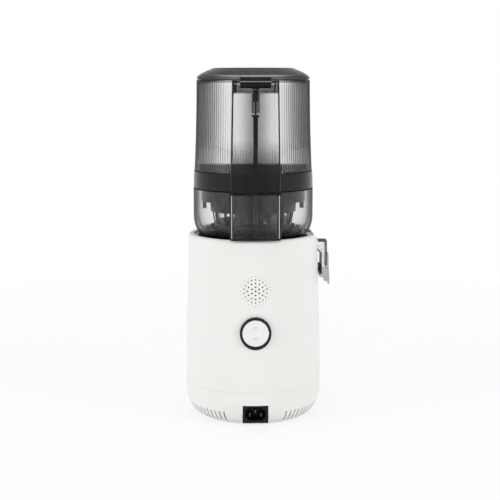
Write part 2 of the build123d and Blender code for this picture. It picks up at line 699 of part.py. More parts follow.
with BuildPart() as rotor_core:
    with BuildSketch(Plane.XY.offset(STACK_LOW + 1)) as lamination:
        with Locations(MOTOR):
            Circle(ROTOR_RADIUS)
            with PolarLocations(ROTOR_RADIUS - 1, 12):
                Rectangle(4, 1.4, mode=Mode.SUBTRACT)
            Circle(MOTOR_SHAFT_RADIUS, mode=Mode.SUBTRACT)
    extrude(lamination.sketch, amount=STACK_HIGH - STACK_LOW - 2)
    ring(ROTOR_RADIUS - 5, MOTOR_SHAFT_RADIUS + 2, STACK_HIGH - 1, STACK_HIGH + 4, MOTOR)
    ring(ROTOR_RADIUS - 5, MOTOR_SHAFT_RADIUS + 2, STACK_LOW - 4, STACK_LOW + 1, MOTOR)
save("rotor_core", rotor_core)

COMMUTATOR_RADIUS = 11.0
with BuildPart() as commutator:
    with BuildSketch(Plane.XY.offset(CAN_LOW + 1)) as segments:
        with Locations(MOTOR):
            Circle(COMMUTATOR_RADIUS)
            with PolarLocations(COMMUTATOR_RADIUS, 24):
                Rectangle(3, 0.5, mode=Mode.SUBTRACT)
            Circle(MOTOR_SHAFT_RADIUS, mode=Mode.SUBTRACT)
    extrude(segments.sketch, amount=6.5)
save("commutator", commutator)

with BuildPart() as cooling_fan:
    ring(8, MOTOR_SHAFT_RADIUS, FAN_LOW, FAN_HIGH, MOTOR)
    ring(33, MOTOR_SHAFT_RADIUS, FAN_HIGH - 1.6, FAN_HIGH, MOTOR)
    for angle in range(0, 360, 30):
        with BuildSketch(Plane.XY.offset(FAN_LOW)) as blade:
            with Locations(Location((*polar(20, angle), 0), (0, 0, angle + 18))):
                Rectangle(25, 1.4)
        extrude(blade.sketch.moved(Location((0, MOTOR_Y, 0))), amount=FAN_HIGH - FAN_LOW)
save("cooling_fan", cooling_fan)

# ---------------------------------------------------------------- gears


def tooth_outline(teeth, module):
    """One tooth on +X, with involute flanks as arcs, from inside the root to the tip."""
    pitch = teeth * module / 2
    tip = pitch + module
    root = pitch - 1.25 * module
    base = pitch * cos(radians(GEAR_ANGLE))
    half_pitch = pi / (2 * teeth) - BACKLASH / (2 * pitch)

    def flank(radius):
        """Half the tooth's angle at a radius."""
        roll = acos(min(1.0, base / radius))
        at_pitch = radians(GEAR_ANGLE)
        return half_pitch + (tan(at_pitch) - at_pitch) - (tan(roll) - roll)

    low = max(base, root)
    middle = (low + tip) / 2
    radii = (low, middle, tip)
    right = [(r * cos(flank(r)), -r * sin(flank(r))) for r in radii]
    left = [(x, -y) for x, y in right]
    inside = root - 0.3 * module
    foot = flank(low)
    with BuildSketch() as tooth:
        with BuildLine():
            ThreePointArc(*right)
            ThreePointArc(right[2], (tip, 0), left[2])
            ThreePointArc(left[2], left[1], left[0])
            Polyline(
                left[0],
                (inside * cos(foot), inside * sin(foot)),
                (inside * cos(foot), -inside * sin(foot)),
                right[0],
            )
        make_face()
    return tooth.sketch, root


def gear(teeth, module, bore, low, high, centre, first_tooth):
    """A spur gear with one tooth at the angle first_tooth."""
    tooth, root = tooth_outline(teeth, module)
    with BuildSketch(Plane.XY.offset(low)) as outline:
        with Locations(centre):
            Circle(root)
            with PolarLocations(0, teeth, start_angle=first_tooth):
                add(tooth)
            Circle(bore, mode=Mode.SUBTRACT)
    extrude(outline.sketch, amount=high - low)


LAYSHAFT = (0, LAYSHAFT_Y)
GEAR_ONE_LOW = 128.0
GEAR_ONE_HIGH = 138.0
PINION_TWO_LOW = CASE_COVER + 2.0
PINION_TWO_HIGH = CASE_ROOF - 8.0
GEAR_TWO_LOW = CASE_COVER + 3.0
GEAR_TWO_HIGH = CASE_ROOF - 9.0
with BuildPart() as motor_pinion:
    gear(
        PINION_ONE,
        MODULE_ONE,
        PINION_BORE,
        PINION_LOW,
        PINION_HIGH,
        MOTOR,
        90 + 180 / PINION_ONE,
    )
save("motor_pinion", motor_pinion)

with BuildPart() as layshaft_gear:
    gear(GEAR_ONE, MODULE_ONE, LAYSHAFT_RADIUS, GEAR_ONE_LOW, GEAR_ONE_HIGH, LAYSHAFT, 270)
    ring(9, LAYSHAFT_RADIUS, GEAR_ONE_LOW - 2, GEAR_ONE_HIGH + 2, LAYSHAFT)
    for angle in range(0, 360, 60):
        hole = polar(18, angle)
        disc(4.5, GEAR_ONE_LOW - 8, GEAR_ONE_HIGH + 7, (hole[0], hole[1] + LAYSHAFT_Y), Mode.SUBTRACT)
save("layshaft_gear", layshaft_gear)

with BuildPart() as layshaft_pinion:
    gear(
        PINION_TWO,
        MODULE_TWO,
        LAYSHAFT_RADIUS - 0.8,
        PINION_TWO_LOW,
        PINION_TWO_HIGH,
        LAYSHAFT,
        270 + 180 / PINION_TWO,
    )
save("layshaft_pinion", layshaft_pinion)

LAYSHAFT_LOW = CASE_FLOOR + 1.0
LAYSHAFT_HIGH = CASE_ROOF - 2.0
with BuildPart() as layshaft:
    disc(LAYSHAFT_RADIUS, LAYSHAFT_LOW, PINION_TWO_LOW - 0.1, LAYSHAFT)
    disc(LAYSHAFT_RADIUS - 0.8, PINION_TWO_LOW - 1, LAYSHAFT_HIGH, LAYSHAFT)
save("layshaft", layshaft)

with BuildPart() as output_gear:
    gear(GEAR_TWO, MODULE_TWO, SHAFT_RADIUS, GEAR_TWO_LOW, GEAR_TWO_HIGH, (0, 0), 90)
    ring(13, SHAFT_RADIUS, GEAR_TWO_LOW - 1, GEAR_TWO_HIGH + 1)
    for angle in range(30, 390, 60):
        disc(5.5, CASE_PLATE, CASE_ROOF - 3, polar(21, angle), Mode.SUBTRACT)
save("output_gear", output_gear)

with BuildPart() as output_shaft:
    disc(SHAFT_RADIUS, CASE_PLATE - 3.0, SEAT_TOP)
    with BuildSketch(Plane.XY.offset(SEAT_TOP)) as hexagon:
        RegularPolygon(HEX_FLATS / 2, 6, major_radius=False)
    extrude(hexagon.sketch, amount=HEX_TOP - SEAT_TOP)
    chamfer(output_shaft.edges().group_by(Axis.Z)[-1], 1.0)
save("output_shaft", output_shaft)

# ---------------------------------------------------------------- gearbox

OUTPUT_CASE_RADIUS = 39.0
LAYSHAFT_CASE_RADIUS = 33.5


def case_outline(height, inset=0.0):
    """The gearbox outline: the hull of a circle round each gear, with four screw ears."""
    with BuildSketch(Plane.XY.offset(height)) as outline:
        Circle(OUTPUT_CASE_RADIUS - inset)
        with Locations(LAYSHAFT):
            Circle(LAYSHAFT_CASE_RADIUS - inset)
        make_hull()
    return outline.sketch


def ears(low, high):
    """Adds the screw ears, each joined to the case by a web, with its screw hole."""
    for x, y in EARS:
        disc(EAR_RADIUS, low, high, (x, y))
        with BuildSketch(Plane.XY.offset(low)) as web:
            aim = degrees(atan2(y - LAYSHAFT_Y / 2, x))
            with Locations(Location((x * 0.86, y * 0.86 + LAYSHAFT_Y * 0.07, 0), (0, 0, aim))):
                Rectangle(16, 8)
        extrude(web.sketch, amount=high - low)


def ear_holes(low, high):
    """Cuts the clearance holes through the ears."""
    for x, y in EARS:
        disc(SCREW_RADIUS + 0.2, low, high, (x, y), Mode.SUBTRACT)


BUSH = LAYSHAFT_RADIUS + 3.0
with BuildPart() as gearbox_case:
    extrude(case_outline(CASE_FLOOR), amount=CASE_PLATE - CASE_FLOOR)
    ears(CASE_FLOOR, CASE_FLOOR + CASE_SKIN)
    ears(CASE_PLATE - 8, CASE_PLATE)
    hollow = CASE_PLATE - CASE_FLOOR - CASE_SKIN
    extrude(case_outline(CASE_FLOOR + CASE_SKIN, CASE_WALL), amount=hollow, mode=Mode.SUBTRACT)
    disc(BUSH + 2.5, CASE_FLOOR, CASE_FLOOR + CASE_SKIN + 2, LAYSHAFT)
    disc(BUSH + FIT, CASE_FLOOR + 1, CASE_FLOOR + 7, LAYSHAFT, Mode.SUBTRACT)
    disc(MOTOR_SHAFT_RADIUS + 2, CASE_FLOOR, CASE_FLOOR + 6, MOTOR, Mode.SUBTRACT)
    for side in (-1, 1):
        disc(1.8, CASE_FLOOR - 1, CASE_FLOOR + 6, (side * 20, MOTOR_Y), Mode.SUBTRACT)
    ear_holes(CASE_FLOOR, CASE_PLATE)
save("gearbox_case", gearbox_case)

OUTPUT_BEARING = 13.0
with BuildPart() as gearbox_plate:
    extrude(case_outline(CASE_PLATE + 0.02), amount=CASE_COVER - CASE_PLATE - 0.04)
    ears(CASE_PLATE + 0.02, CASE_COVER - 0.02)
    disc(OUTPUT_BEARING + 2.5, CASE_PLATE - 4, CASE_COVER - 0.02)
    disc(OUTPUT_BEARING + FIT, CASE_PLATE - 3, CASE_COVER, mode=Mode.SUBTRACT)
    disc(SHAFT_RADIUS + 1, CASE_PLATE - 4, CASE_COVER, mode=Mode.SUBTRACT)
    disc(LAYSHAFT_RADIUS + 1.5, CASE_PLATE, CASE_COVER, LAYSHAFT, Mode.SUBTRACT)
    ear_holes(CASE_PLATE, CASE_COVER)
save("gearbox_plate", gearbox_plate)

ROOF_LOW = CASE_ROOF - CASE_SKIN
BOSS_TOP = CASE_ROOF + 6.0
with BuildPart() as gearbox_cover:
    extrude(case_outline(CASE_COVER), amount=CASE_ROOF - CASE_COVER)
    ears(CASE_COVER, CASE_ROOF)
    extrude(case_outline(CASE_COVER, CASE_WALL), amount=ROOF_LOW - CASE_COVER, mode=Mode.SUBTRACT)
    disc(OUTPUT_BEARING + 3, ROOF_LOW, BOSS_TOP)
    disc(OUTPUT_BEARING + FIT, ROOF_LOW, BOSS_TOP - 1.5, mode=Mode.SUBTRACT)
    disc(SHAFT_RADIUS + 1, ROOF_LOW, BOSS_TOP, mode=Mode.SUBTRACT)
    disc(BUSH + 2.5, ROOF_LOW - 2, CASE_ROOF, LAYSHAFT)
    disc(BUSH + FIT, ROOF_LOW - 2, CASE_ROOF - 1.5, LAYSHAFT, Mode.SUBTRACT)
    ear_holes(CASE_COVER, CASE_ROOF)
save("gearbox_cover", gearbox_cover)

with BuildPart() as gearbox_bearings:
    bearing(SHAFT_RADIUS + FIT, OUTPUT_BEARING, CASE_PLATE - 3, CASE_COVER, (0, 0))
    bearing(SHAFT_RADIUS + FIT, OUTPUT_BEARING, ROOF_LOW, BOSS_TOP - 1.5, (0, 0))
    ring(BUSH, LAYSHAFT_RADIUS + FIT, CASE_FLOOR + 1, CASE_FLOOR + 6, LAYSHAFT)
    ring(BUSH, LAYSHAFT_RADIUS - 0.8 + FIT, ROOF_LOW - 2, CASE_ROOF - 1.5, LAYSHAFT)
save("gearbox_bearings", gearbox_bearings)

with BuildPart() as gearbox_screws:
    for x, y in EARS:
        disc(SCREW_RADIUS, CASE_FLOOR - 1, CASE_ROOF + 20, (x, y))
        disc(3.6, CASE_FLOOR - 4, CASE_FLOOR - GAP, (x, y))
    for side in (-1, 1):
        disc(1.6, CAN_TOP - 3, CASE_FLOOR + CASE_SKIN, (side * 20, MOTOR_Y))
        disc(3.0, CASE_FLOOR + CASE_SKIN, CASE_FLOOR + CASE_SKIN + 2, (side * 20, MOTOR_Y))
save("gearbox_screws", gearbox_screws)

# ---------------------------------------------------------------- chamber


def bowl_solid(inset, bottom, top, mode=Mode.ADD):
    """The chamber as a solid with a rounded bottom edge, set in by inset."""
    radius = CHAMBER_RADIUS - inset
    with BuildSketch(Plane.XZ) as outline:
        with BuildLine():
            corner = EllipticalCenterArc(
                (radius - BOWL_ROUND_WIDTH, bottom + BOWL_ROUND_HEIGHT),
                BOWL_ROUND_WIDTH,
                BOWL_ROUND_HEIGHT,
                start_angle=-90,
                arc_size=90,
            )
            Polyline(corner @ 1, (radius, top), (0, top), (0, bottom), corner @ 0)
        make_face()
    revolve(outline.sketch, axis=Axis.Z, mode=mode)


SPOUT_OUTLINE = (
    (56, 231.0),
    (71, 231.0),
    (82, SPOUT_TOP),
    (SPOUT_FACE, SPOUT_TOP),
    (SPOUT_FACE, SPOUT_MOUTH + 1.4),
    (SPOUT_BACK, SPOUT_MOUTH),
    (SPOUT_BACK, 203.0),
    (80, 206.0),
    (66, 219.0),
    (60, 224.6),
    (56, 224.6),
)
SPOUT_CORNER = 6.5
CHUTE_END = 104.0
CHUTE_OUTLINE = (
    (50, 238.0),
    (72, 238.0),
    (92, 222.0),
    (CHUTE_END, 214.0),
    (CHUTE_END, CHUTE_MOUTH),
    (92, CHUTE_MOUTH),
    (88, 198.0),
    (78, 204.0),
    (64, 216.5),
    (58, 224.6),
    (50, 224.6),
)


def duct(plane, points, half, wall, corner=0.0):
    """Adds a duct as a solid and returns the solid of its inside."""
    with BuildSketch(plane) as outline:
        with BuildLine():
            Polyline(*points, close=True)
        make_face()
        if corner:
            fillet(outline.vertices().group_by(Axis.X)[-1].sort_by(Axis.Z)[-1], corner)
    extrude(outline.sketch, amount=half, both=True)
    with BuildSketch(plane) as inside:
        add(outline.sketch_local)
        offset(amount=-wall, kind=Kind.INTERSECTION, mode=Mode.REPLACE)
    return extrude(inside.sketch, amount=half - wall, both=True, mode=Mode.PRIVATE)


with BuildPart() as chamber_bowl:
    bowl_solid(0, CHAMBER_FLOOR, CHAMBER_TOP)
    spout_inside = duct(Plane.XZ, SPOUT_OUTLINE, SPOUT_HALF, SPOUT_WALL, SPOUT_CORNER)
    chute_inside = duct(Plane.YZ, CHUTE_OUTLINE, CHUTE_HALF, SPOUT_WALL)
    bowl_solid(CHAMBER_WALL, CHAMBER_FLOOR + CHAMBER_WALL, CHAMBER_TOP, mode=Mode.SUBTRACT)
    add(spout_inside, mode=Mode.SUBTRACT)
    add(chute_inside, mode=Mode.SUBTRACT)
    block(
        (SPOUT_BACK + SPOUT_WALL, SPOUT_FACE - SPOUT_WALL),
        (-SPOUT_HALF + SPOUT_WALL, SPOUT_HALF - SPOUT_WALL),
        (SPOUT_MOUTH - 1, SPOUT_MOUTH + 8),
        Mode.SUBTRACT,
    )
    block(
        (-CHUTE_HALF + SPOUT_WALL, CHUTE_HALF - SPOUT_WALL),
        (94, CHUTE_END - SPOUT_WALL),
        (CHUTE_MOUTH - 2, CHUTE_MOUTH + 6),
        Mode.SUBTRACT,
    )
    disc(HUB_BORE + HUB_WALL, CHAMBER_FLOOR, HUB_TOP)
    disc(HUB_BORE, CHAMBER_FLOOR - 1, HUB_TOP + 1, mode=Mode.SUBTRACT)
    for side in (-1, 1):
        bar(
            PIVOT_RADIUS,
            (PIVOT_X, side * (SPOUT_HALF - SPOUT_WALL), PIVOT_Z),
            (PIVOT_X, side * (SPOUT_HALF + 0.5 + LEVER_WALL), PIVOT_Z),
        )
save("chamber_bowl", chamber_bowl)

with BuildPart() as chamber_ring:
    ring(BASE_RING_RADIUS, BASE_RING_RADIUS - 11, DECK_TOP + GAP, CHAMBER_FLOOR - 2.4)
    ring(BASE_RING_RADIUS - 2.5, BASE_RING_RADIUS - 11, CHAMBER_FLOOR - 3, CHAMBER_FLOOR - 0.05)
    for angle in range(0, 360, 20):
        with BuildSketch(Plane.XY.offset(DECK_TOP + GAP)) as tab:
            with Locations(Location((*polar(BASE_RING_RADIUS - 1, angle + 10), 0), (0, 0, angle + 10))):
                Rectangle(4, 12)
        extrude(tab.sketch, amount=CHAMBER_FLOOR - DECK_TOP - GAP - 1.2)
    for angle in range(0, 360, 30):
        with BuildSketch(Plane.XY.offset(CHAMBER_FLOOR - 3)) as lug:
            with Locations((0, 0)):
                Circle(LUG_RADIUS)
                Circle(BASE_RING_RADIUS - 5, mode=Mode.SUBTRACT)
            reach = 2 * LUG_RADIUS
            wedge = (polar(reach, angle - LUG_HALF_ANGLE), polar(reach, angle + LUG_HALF_ANGLE))
            with BuildLine():
                Polyline((0, 0), *wedge, close=True)
            make_face(mode=Mode.INTERSECT)
        extrude(lug.sketch, amount=LUG_TOP - CHAMBER_FLOOR + 3)
    bowl_solid(-0.05, CHAMBER_FLOOR - 0.05, CHAMBER_TOP, mode=Mode.SUBTRACT)
    block((59.7, 90), (-SPOUT_HALF - GAP, SPOUT_HALF + GAP), (200, 230), Mode.SUBTRACT)
    block((-CHUTE_HALF - GAP, CHUTE_HALF + GAP), (57.7, 90), (200, 230), Mode.SUBTRACT)
save("chamber_ring", chamber_ring)

with BuildPart() as centre_packing:
    ring(HUB_BORE - GAP, SEAL_RADIUS + 3 + GAP, CHAMBER_FLOOR - 5, CHAMBER_FLOOR + 3)
    ring(HUB_BORE + 3, SEAL_RADIUS + 3 + GAP, CHAMBER_FLOOR - 5, CHAMBER_FLOOR - 0.2)
save("centre_packing", centre_packing)

# ---------------------------------------------------------------- back columns


def column_outline(height, width, back):
    """The column in plan: a block from inside the wall to its flat back, with round corners."""
    with BuildSketch(Plane.XY.offset(height)) as outline:
        with Locations((0, -(back + 60) / 2)):
            Rectangle(width, back - 60)
        fillet(outline.vertices().group_by(Axis.Y)[0], COLUMN_ROUND)
    return outline.sketch


with BuildPart() as chamber_column:
    low = RIM_HEIGHT + 0.4
    high = CHAMBER_TOP - 0.3
    extrude(column_outline(low, COLUMN_LOW_WIDTH, COLUMN_BACK), amount=high - low)
    bottom = chamber_column.edges().group_by(Axis.Z)[0].group_by(Axis.Y)[0]
    fillet(bottom, 1.2)
    inner = column_outline(low + COLUMN_WALL, COLUMN_LOW_WIDTH - 2 * COLUMN_WALL, COLUMN_BACK - COLUMN_WALL)
    extrude(inner, amount=high - low - 2 * COLUMN_WALL, mode=Mode.SUBTRACT)
    bowl_solid(-GAP, CHAMBER_FLOOR - GAP, CHAMBER_TOP + 1, mode=Mode.SUBTRACT)
    disc(2.7, high - 5, high + 1, (0, -ROD_OFFSET), Mode.SUBTRACT)
    disc(2.3, low - 1, low + 5, (0, -BUTTON_OFFSET), Mode.SUBTRACT)
save("chamber_column", chamber_column)

LOWER_ROD_RADIUS = 2.4
FOOT_LOW = RIM_HEIGHT + 0.4 + COLUMN_WALL + 0.3
with BuildPart() as lower_rod:
    disc(LOWER_ROD_RADIUS, FOOT_LOW, CHAMBER_TOP + 0.1, (0, -ROD_OFFSET))
    block((-2.6, 2.6), (-ROD_OFFSET - 2.4, -BUTTON_OFFSET + 2), (FOOT_LOW, FOOT_LOW + 3))
    disc(2.0, BUTTON_TOP + 0.15, FOOT_LOW + 1, (0, -BUTTON_OFFSET))
save("lower_rod", lower_rod)

# ---------------------------------------------------------------- strainer and auger

COLLAR_RADIUS = 64.6
COLLAR_LOW = 269.6
TAB_LOW = 259.6
STEP_RADIUS = 53.4
STEP_LOW = 256.5
SCREEN_TOP_RADIUS = 49.0
SCREEN_LOW_RADIUS = 46.0
SCREEN_LOW = 236.5
SCREEN_SKIN = 0.9
SEAT_LOW = CHAMBER_FLOOR + CHAMBER_WALL + 0.1
with BuildPart() as strainer_frame:
    turned(
        (
            (COLLAR_RADIUS, COLLAR_LOW),
            (COLLAR_RADIUS, CHAMBER_TOP - 1.0),
            (COLLAR_RADIUS - 2, CHAMBER_TOP - 1.0),
            (COLLAR_RADIUS - 2.4, COLLAR_LOW + 4),
            (SCREEN_TOP_RADIUS + 0.6, COLLAR_LOW + 2),
            (SCREEN_TOP_RADIUS + 0.6, STEP_LOW),
            (STEP_RADIUS, STEP_LOW),
            (STEP_RADIUS, COLLAR_LOW),
        )
    )
    for step in range(6):
        angle = step * 60
        with BuildSketch(Plane.XY.offset(TAB_LOW)) as tab:
            with Locations(Location((*polar(COLLAR_RADIUS - 4, angle), 0), (0, 0, angle))):
                Rectangle(4.6, 9)
        extrude(tab.sketch, amount=COLLAR_LOW - TAB_LOW + 1)
    turned(
        (
            (SCREEN_LOW_RADIUS + 2.2, SEAT_LOW + 6),
            (SCREEN_LOW_RADIUS + 2.2, SCREEN_LOW + 4),
            (SCREEN_LOW_RADIUS + 0.95, SCREEN_LOW + 4),
            (SCREEN_LOW_RADIUS + 0.1, SEAT_LOW + 6),
        )
    )
    for step in range(16):
        angle = step * 22.5
        with BuildSketch(Plane.XY.offset(SCREEN_LOW + 2)) as rib_low:
            with Locations(Location((*polar(SCREEN_LOW_RADIUS + 1.5, angle), 0), (0, 0, angle))):
                Rectangle(1.6, 2.0)
        with BuildSketch(Plane.XY.offset(STEP_LOW + 1)) as rib_high:
            with Locations(Location((*polar(SCREEN_TOP_RADIUS + 1.3, angle), 0), (0, 0, angle))):
                Rectangle(1.6, 2.0)
        loft(Sketch() + [rib_low.sketch, rib_high.sketch])
save("strainer_frame", strainer_frame)

with BuildPart() as strainer_screen:
    top = COLLAR_LOW + 1.8
    turned(
        (
            (SCREEN_LOW_RADIUS, SCREEN_LOW - 3),
            (SCREEN_TOP_RADIUS + 0.4, top),
            (SCREEN_TOP_RADIUS + 0.4 - SCREEN_SKIN, top),
            (SCREEN_LOW_RADIUS - SCREEN_SKIN, SCREEN_LOW - 3),
        )
    )
save("strainer_screen", strainer_screen)

with BuildPart() as strainer_seat:
    ring(SCREEN_LOW_RADIUS + 12, SCREEN_LOW_RADIUS + 10, SEAT_LOW, SEAT_LOW + 8)
    ring(SCREEN_LOW_RADIUS + 12, SCREEN_LOW_RADIUS - 2, SEAT_LOW, SEAT_LOW + 2)
    ring(SCREEN_LOW_RADIUS + 1.5, SCREEN_LOW_RADIUS - 2, SEAT_LOW, SEAT_LOW + 5.6)
    for step in range(12):
        angle = step * 30 + 15
        with BuildSketch(Plane.XY.offset(SEAT_LOW + 3)) as arch:
            with Locations(Location((*polar(SCREEN_LOW_RADIUS + 11, angle), 0), (0, 0, angle))):
                Rectangle(8, 14)
        extrude(arch.sketch, amount=12, mode=Mode.SUBTRACT)
    block((-CHUTE_HALF + 3, CHUTE_HALF - 3), (35, 70), (SEAT_LOW - 1, SEAT_LOW + 12), Mode.SUBTRACT)
save("strainer_seat", strainer_seat)

with BuildPart() as pulp_packing:
    block((-12.5, 12.5), (49.5, 57.5), (SEAT_LOW, SEAT_LOW + 7))
    block((-9.5, 9.5), (49, 58), (SEAT_LOW + 1.5, SEAT_LOW + 5.5), Mode.SUBTRACT)
save("pulp_packing", pulp_packing)

SOCKET_RADIUS = 8.5
SOCKET_BASE = SEAT_TOP + 3.0
AUGER_LOW = CHAMBER_FLOOR + CHAMBER_WALL + 2.0
AUGER_SKIRT = HUB_BORE + HUB_WALL + 0.8
AUGER_TOP = 287.0
FLIGHT_LOW = 243.0
FLIGHT_RISE = 36.0
FLIGHT_PITCH = 58.0
FLIGHT_RADIUS = 43.5
with BuildPart() as auger:
    turned(
        (
            (0, AUGER_LOW),
            (AUGER_SKIRT + 6, AUGER_LOW),
            (AUGER_SKIRT + 6, AUGER_LOW + 6),
            (AUGER_SKIRT + 11, AUGER_LOW + 12),
            (AUGER_SKIRT + 9, AUGER_LOW + 18),
            (17, AUGER_TOP - 6),
            (13, AUGER_TOP),
            (0, AUGER_TOP),
        )
    )
    for start in (0, 180):
        with BuildLine() as path:
            Helix(FLIGHT_PITCH, FLIGHT_RISE, 28, center=(0, 0, FLIGHT_LOW))
        with BuildSketch(Plane(origin=(28, 0, FLIGHT_LOW), x_dir=(1, 0, 0), z_dir=(0, 1, 0))) as tooth:
            with Locations(((FLIGHT_RADIUS - 10) / 2 - 28 + 10 / 1, 0)):
                Rectangle(FLIGHT_RADIUS - 10, 4)
        flight = sweep(tooth.sketch, path=path.line, is_frenet=True, mode=Mode.PRIVATE)
        add(flight.rotate(Axis.Z, start))
    ring(AUGER_SKIRT, SOCKET_RADIUS + 2.5, AUGER_LOW - 1, HUB_TOP + 1.5, mode=Mode.SUBTRACT)
    disc(SOCKET_RADIUS + FIT, AUGER_LOW - 1, HEX_TOP + 2.5, mode=Mode.SUBTRACT)
save("auger", auger)

with BuildPart() as auger_socket:
    disc(SOCKET_RADIUS, AUGER_LOW, HEX_TOP + 2.4)
    with BuildSketch(Plane.XY.offset(AUGER_LOW - 1)) as hexagon:
        RegularPolygon(HEX_FLATS / 2 + 0.15, 6, major_radius=False)
    extrude(hexagon.sketch, amount=HEX_TOP - AUGER_LOW + 1.6, mode=Mode.SUBTRACT)
save("auger_socket", auger_socket)

WING_LOW = AUGER_TOP + 0.1
with BuildPart() as feed_wing:
    turned(
        (
            (0, WING_LOW),
            (12.5, WING_LOW),
            (12.5, WING_LOW + 10),
            (10.0, WING_LOW + 14.5),
            (5.0, WING_LOW + 17),
            (0, WING_LOW + 17.4),
        )
    )
    for angle in (0, 120, 240):
        with BuildSketch(Plane.XY.offset(WING_LOW + 2)) as blade:
            with Locations(Location((*polar(26, angle), 0), (0, 0, angle + 14))):
                Rectangle(34, 5)
        extrude(blade.sketch, amount=9, taper=10)
save("feed_wing", feed_wing)

# ---------------------------------------------------------------- drip-stop lever

LEVER_INNER = SPOUT_HALF + 0.5
LEVER_OUTER = LEVER_INNER + LEVER_WALL
LEVER_TOP = 215.4
LEVER_FLOOR_LEFT = 85.6
SEAL_TOP = SPOUT_MOUTH - 0.4
SEAL_LOW = SPOUT_MOUTH - 5.0
CHEEK = (
    (PIVOT_X, PIVOT_Z + LEVER_EYE - 0.1),
    (85.6, LEVER_TOP),
    (88.2, LEVER_TOP),
    (90.6, 214.4),
    (92.5, 212.1),
    (93.5, 208.8),
    (93.9, 200.0),
    (94.1, SPOUT_MOUTH + 4.8),
    (94.9, SPOUT_MOUTH - 6.7),
    (95.3, SPOUT_MOUTH - 12.7),
    (95.0, LEVER_END + 1.6),
    (93.9, LEVER_END),
    (92.9, LEVER_END + 1.6),
    (92.6, LEVER_END + 3.8),
    (88.2, LEVER_END + 4.8),
    (87.6, SPOUT_MOUTH - 10.6),
    (82.6, SPOUT_MOUTH - 9.6),
    (82.6, SPOUT_MOUTH - 7.0),
    (87.2, SPOUT_MOUTH - 5.8),
    (85.7, SEAL_LOW),
    (85.2, 200.0),
    (84.6, PIVOT_Z - 3.6),
)
with BuildPart() as spout_lever:
    slab(Plane.XZ, CHEEK, LEVER_OUTER)
    bar(LEVER_EYE, (PIVOT_X, -LEVER_OUTER, PIVOT_Z), (PIVOT_X, LEVER_OUTER, PIVOT_Z))
    block((78, SPOUT_FACE + 0.5), (-LEVER_INNER, LEVER_INNER), (SEAL_TOP, 222), Mode.SUBTRACT)
    block((78, 100), (-LEVER_INNER, LEVER_INNER), (PIVOT_Z - 7.0, 222), Mode.SUBTRACT)
    bar(
        PIVOT_RADIUS + FIT,
        (PIVOT_X, -LEVER_OUTER - 1, PIVOT_Z),
        (PIVOT_X, LEVER_OUTER + 1, PIVOT_Z),
        Mode.SUBTRACT,
    )
save("spout_lever", spout_lever)

with BuildPart() as lever_seal:
    block((82.3, LEVER_FLOOR_LEFT), (-LEVER_INNER - 1.4, LEVER_INNER + 1.4), (SEAL_LOW, SEAL_TOP))
    fillet(lever_seal.edges().filter_by(Axis.Z).group_by(Axis.X)[0], 1.4)
save("lever_seal", lever_seal)

with BuildPart() as spout_bumper:
    block((82.3, SPOUT_BACK - 0.05), (-8, 8), (SPOUT_MOUTH + 1.3, SPOUT_MOUTH + 5.3))
    fillet(spout_bumper.edges().filter_by(Axis.Y), 0.8)
save("spout_bumper", spout_bumper)

# ---------------------------------------------------------------- hopper

HOPPER_BASE = CHAMBER_TOP + GAP
with BuildPart() as hopper_ring:
    turned(
        (
            (HOPPER_RING_LOW_RADIUS - 1.2, HOPPER_BASE),
            (HOPPER_RING_LOW_RADIUS, HOPPER_BASE + 1.2),
            (HOPPER_RING_TOP_RADIUS, HOPPER_RING_TOP),
            (FEED_RADIUS + 18, HOPPER_RING_TOP),
            (FEED_RADIUS, HOPPER_RING_TOP - 8),
            (FEED_RADIUS, HOPPER_BASE),
            (FEED_RADIUS + 2.5, HOPPER_BASE),
            (FEED_RADIUS + 2.5, HOPPER_RING_TOP - 10),
            (FEED_RADIUS + 18, HOPPER_RING_TOP - 3),
            (HOPPER_RING_TOP_RADIUS - 3, HOPPER_RING_TOP - 3),
            (HOPPER_RING_LOW_RADIUS - 3, HOPPER_BASE),
        )
    )
save("hopper_ring", hopper_ring)


def hopper_solid(inset, bottom, top, mode=Mode.ADD):
    """The hopper's tapered wall as a solid, set in by inset."""
    fall = HOPPER_LOW_RADIUS - HOPPER_TOP_RADIUS
    height = HOPPER_TOP - HOPPER_RING_TOP
    low = HOPPER_LOW_RADIUS - inset
    with BuildSketch(Plane.XZ) as outline:
        with BuildLine():
            side = ThreePointArc(
                (low, bottom),
                (low - 0.62 * fall, HOPPER_RING_TOP + 0.43 * height),
                (low - fall, top),
            )
            Polyline(side @ 0, (0, bottom), (0, top), side @ 1)
        make_face()
    revolve(outline.sketch, axis=Axis.Z, mode=mode)


with BuildPart() as hopper_body:
    hopper_solid(0, HOPPER_RING_TOP + 0.05, HOPPER_TOP)
    hopper_solid(HOPPER_WALL, HOPPER_RING_TOP + 0.05, HOPPER_TOP, mode=Mode.SUBTRACT)
    fillet(hopper_body.edges().group_by(Axis.Z)[-1], 0.7)
save("hopper_body", hopper_body)

HOPPER_COLUMN_LOW = HOPPER_BASE + 0.4
FLOOR_PLATE = POCKET_FLOOR - COLUMN_WALL


def tapered(inset, back, mode=Mode.ADD):
    """The hopper column as a block that narrows towards its top, set in by inset."""
    low = HOPPER_COLUMN_LOW + inset
    high = HOPPER_TOP - inset
    slope = (COLUMN_MID_WIDTH - COLUMN_TOP_WIDTH) / 2 / (HOPPER_TOP - HOPPER_COLUMN_LOW)
    foot = COLUMN_MID_WIDTH / 2 - inset - slope * inset
    head = COLUMN_TOP_WIDTH / 2 - inset + slope * inset
    with BuildSketch(Plane.XZ.offset(60)) as outline:
        with BuildLine():
            Polyline((-foot, low), (foot, low), (head, high), (-head, high), close=True)
        make_face()
    extrude(outline.sketch, amount=back - 60, mode=mode)


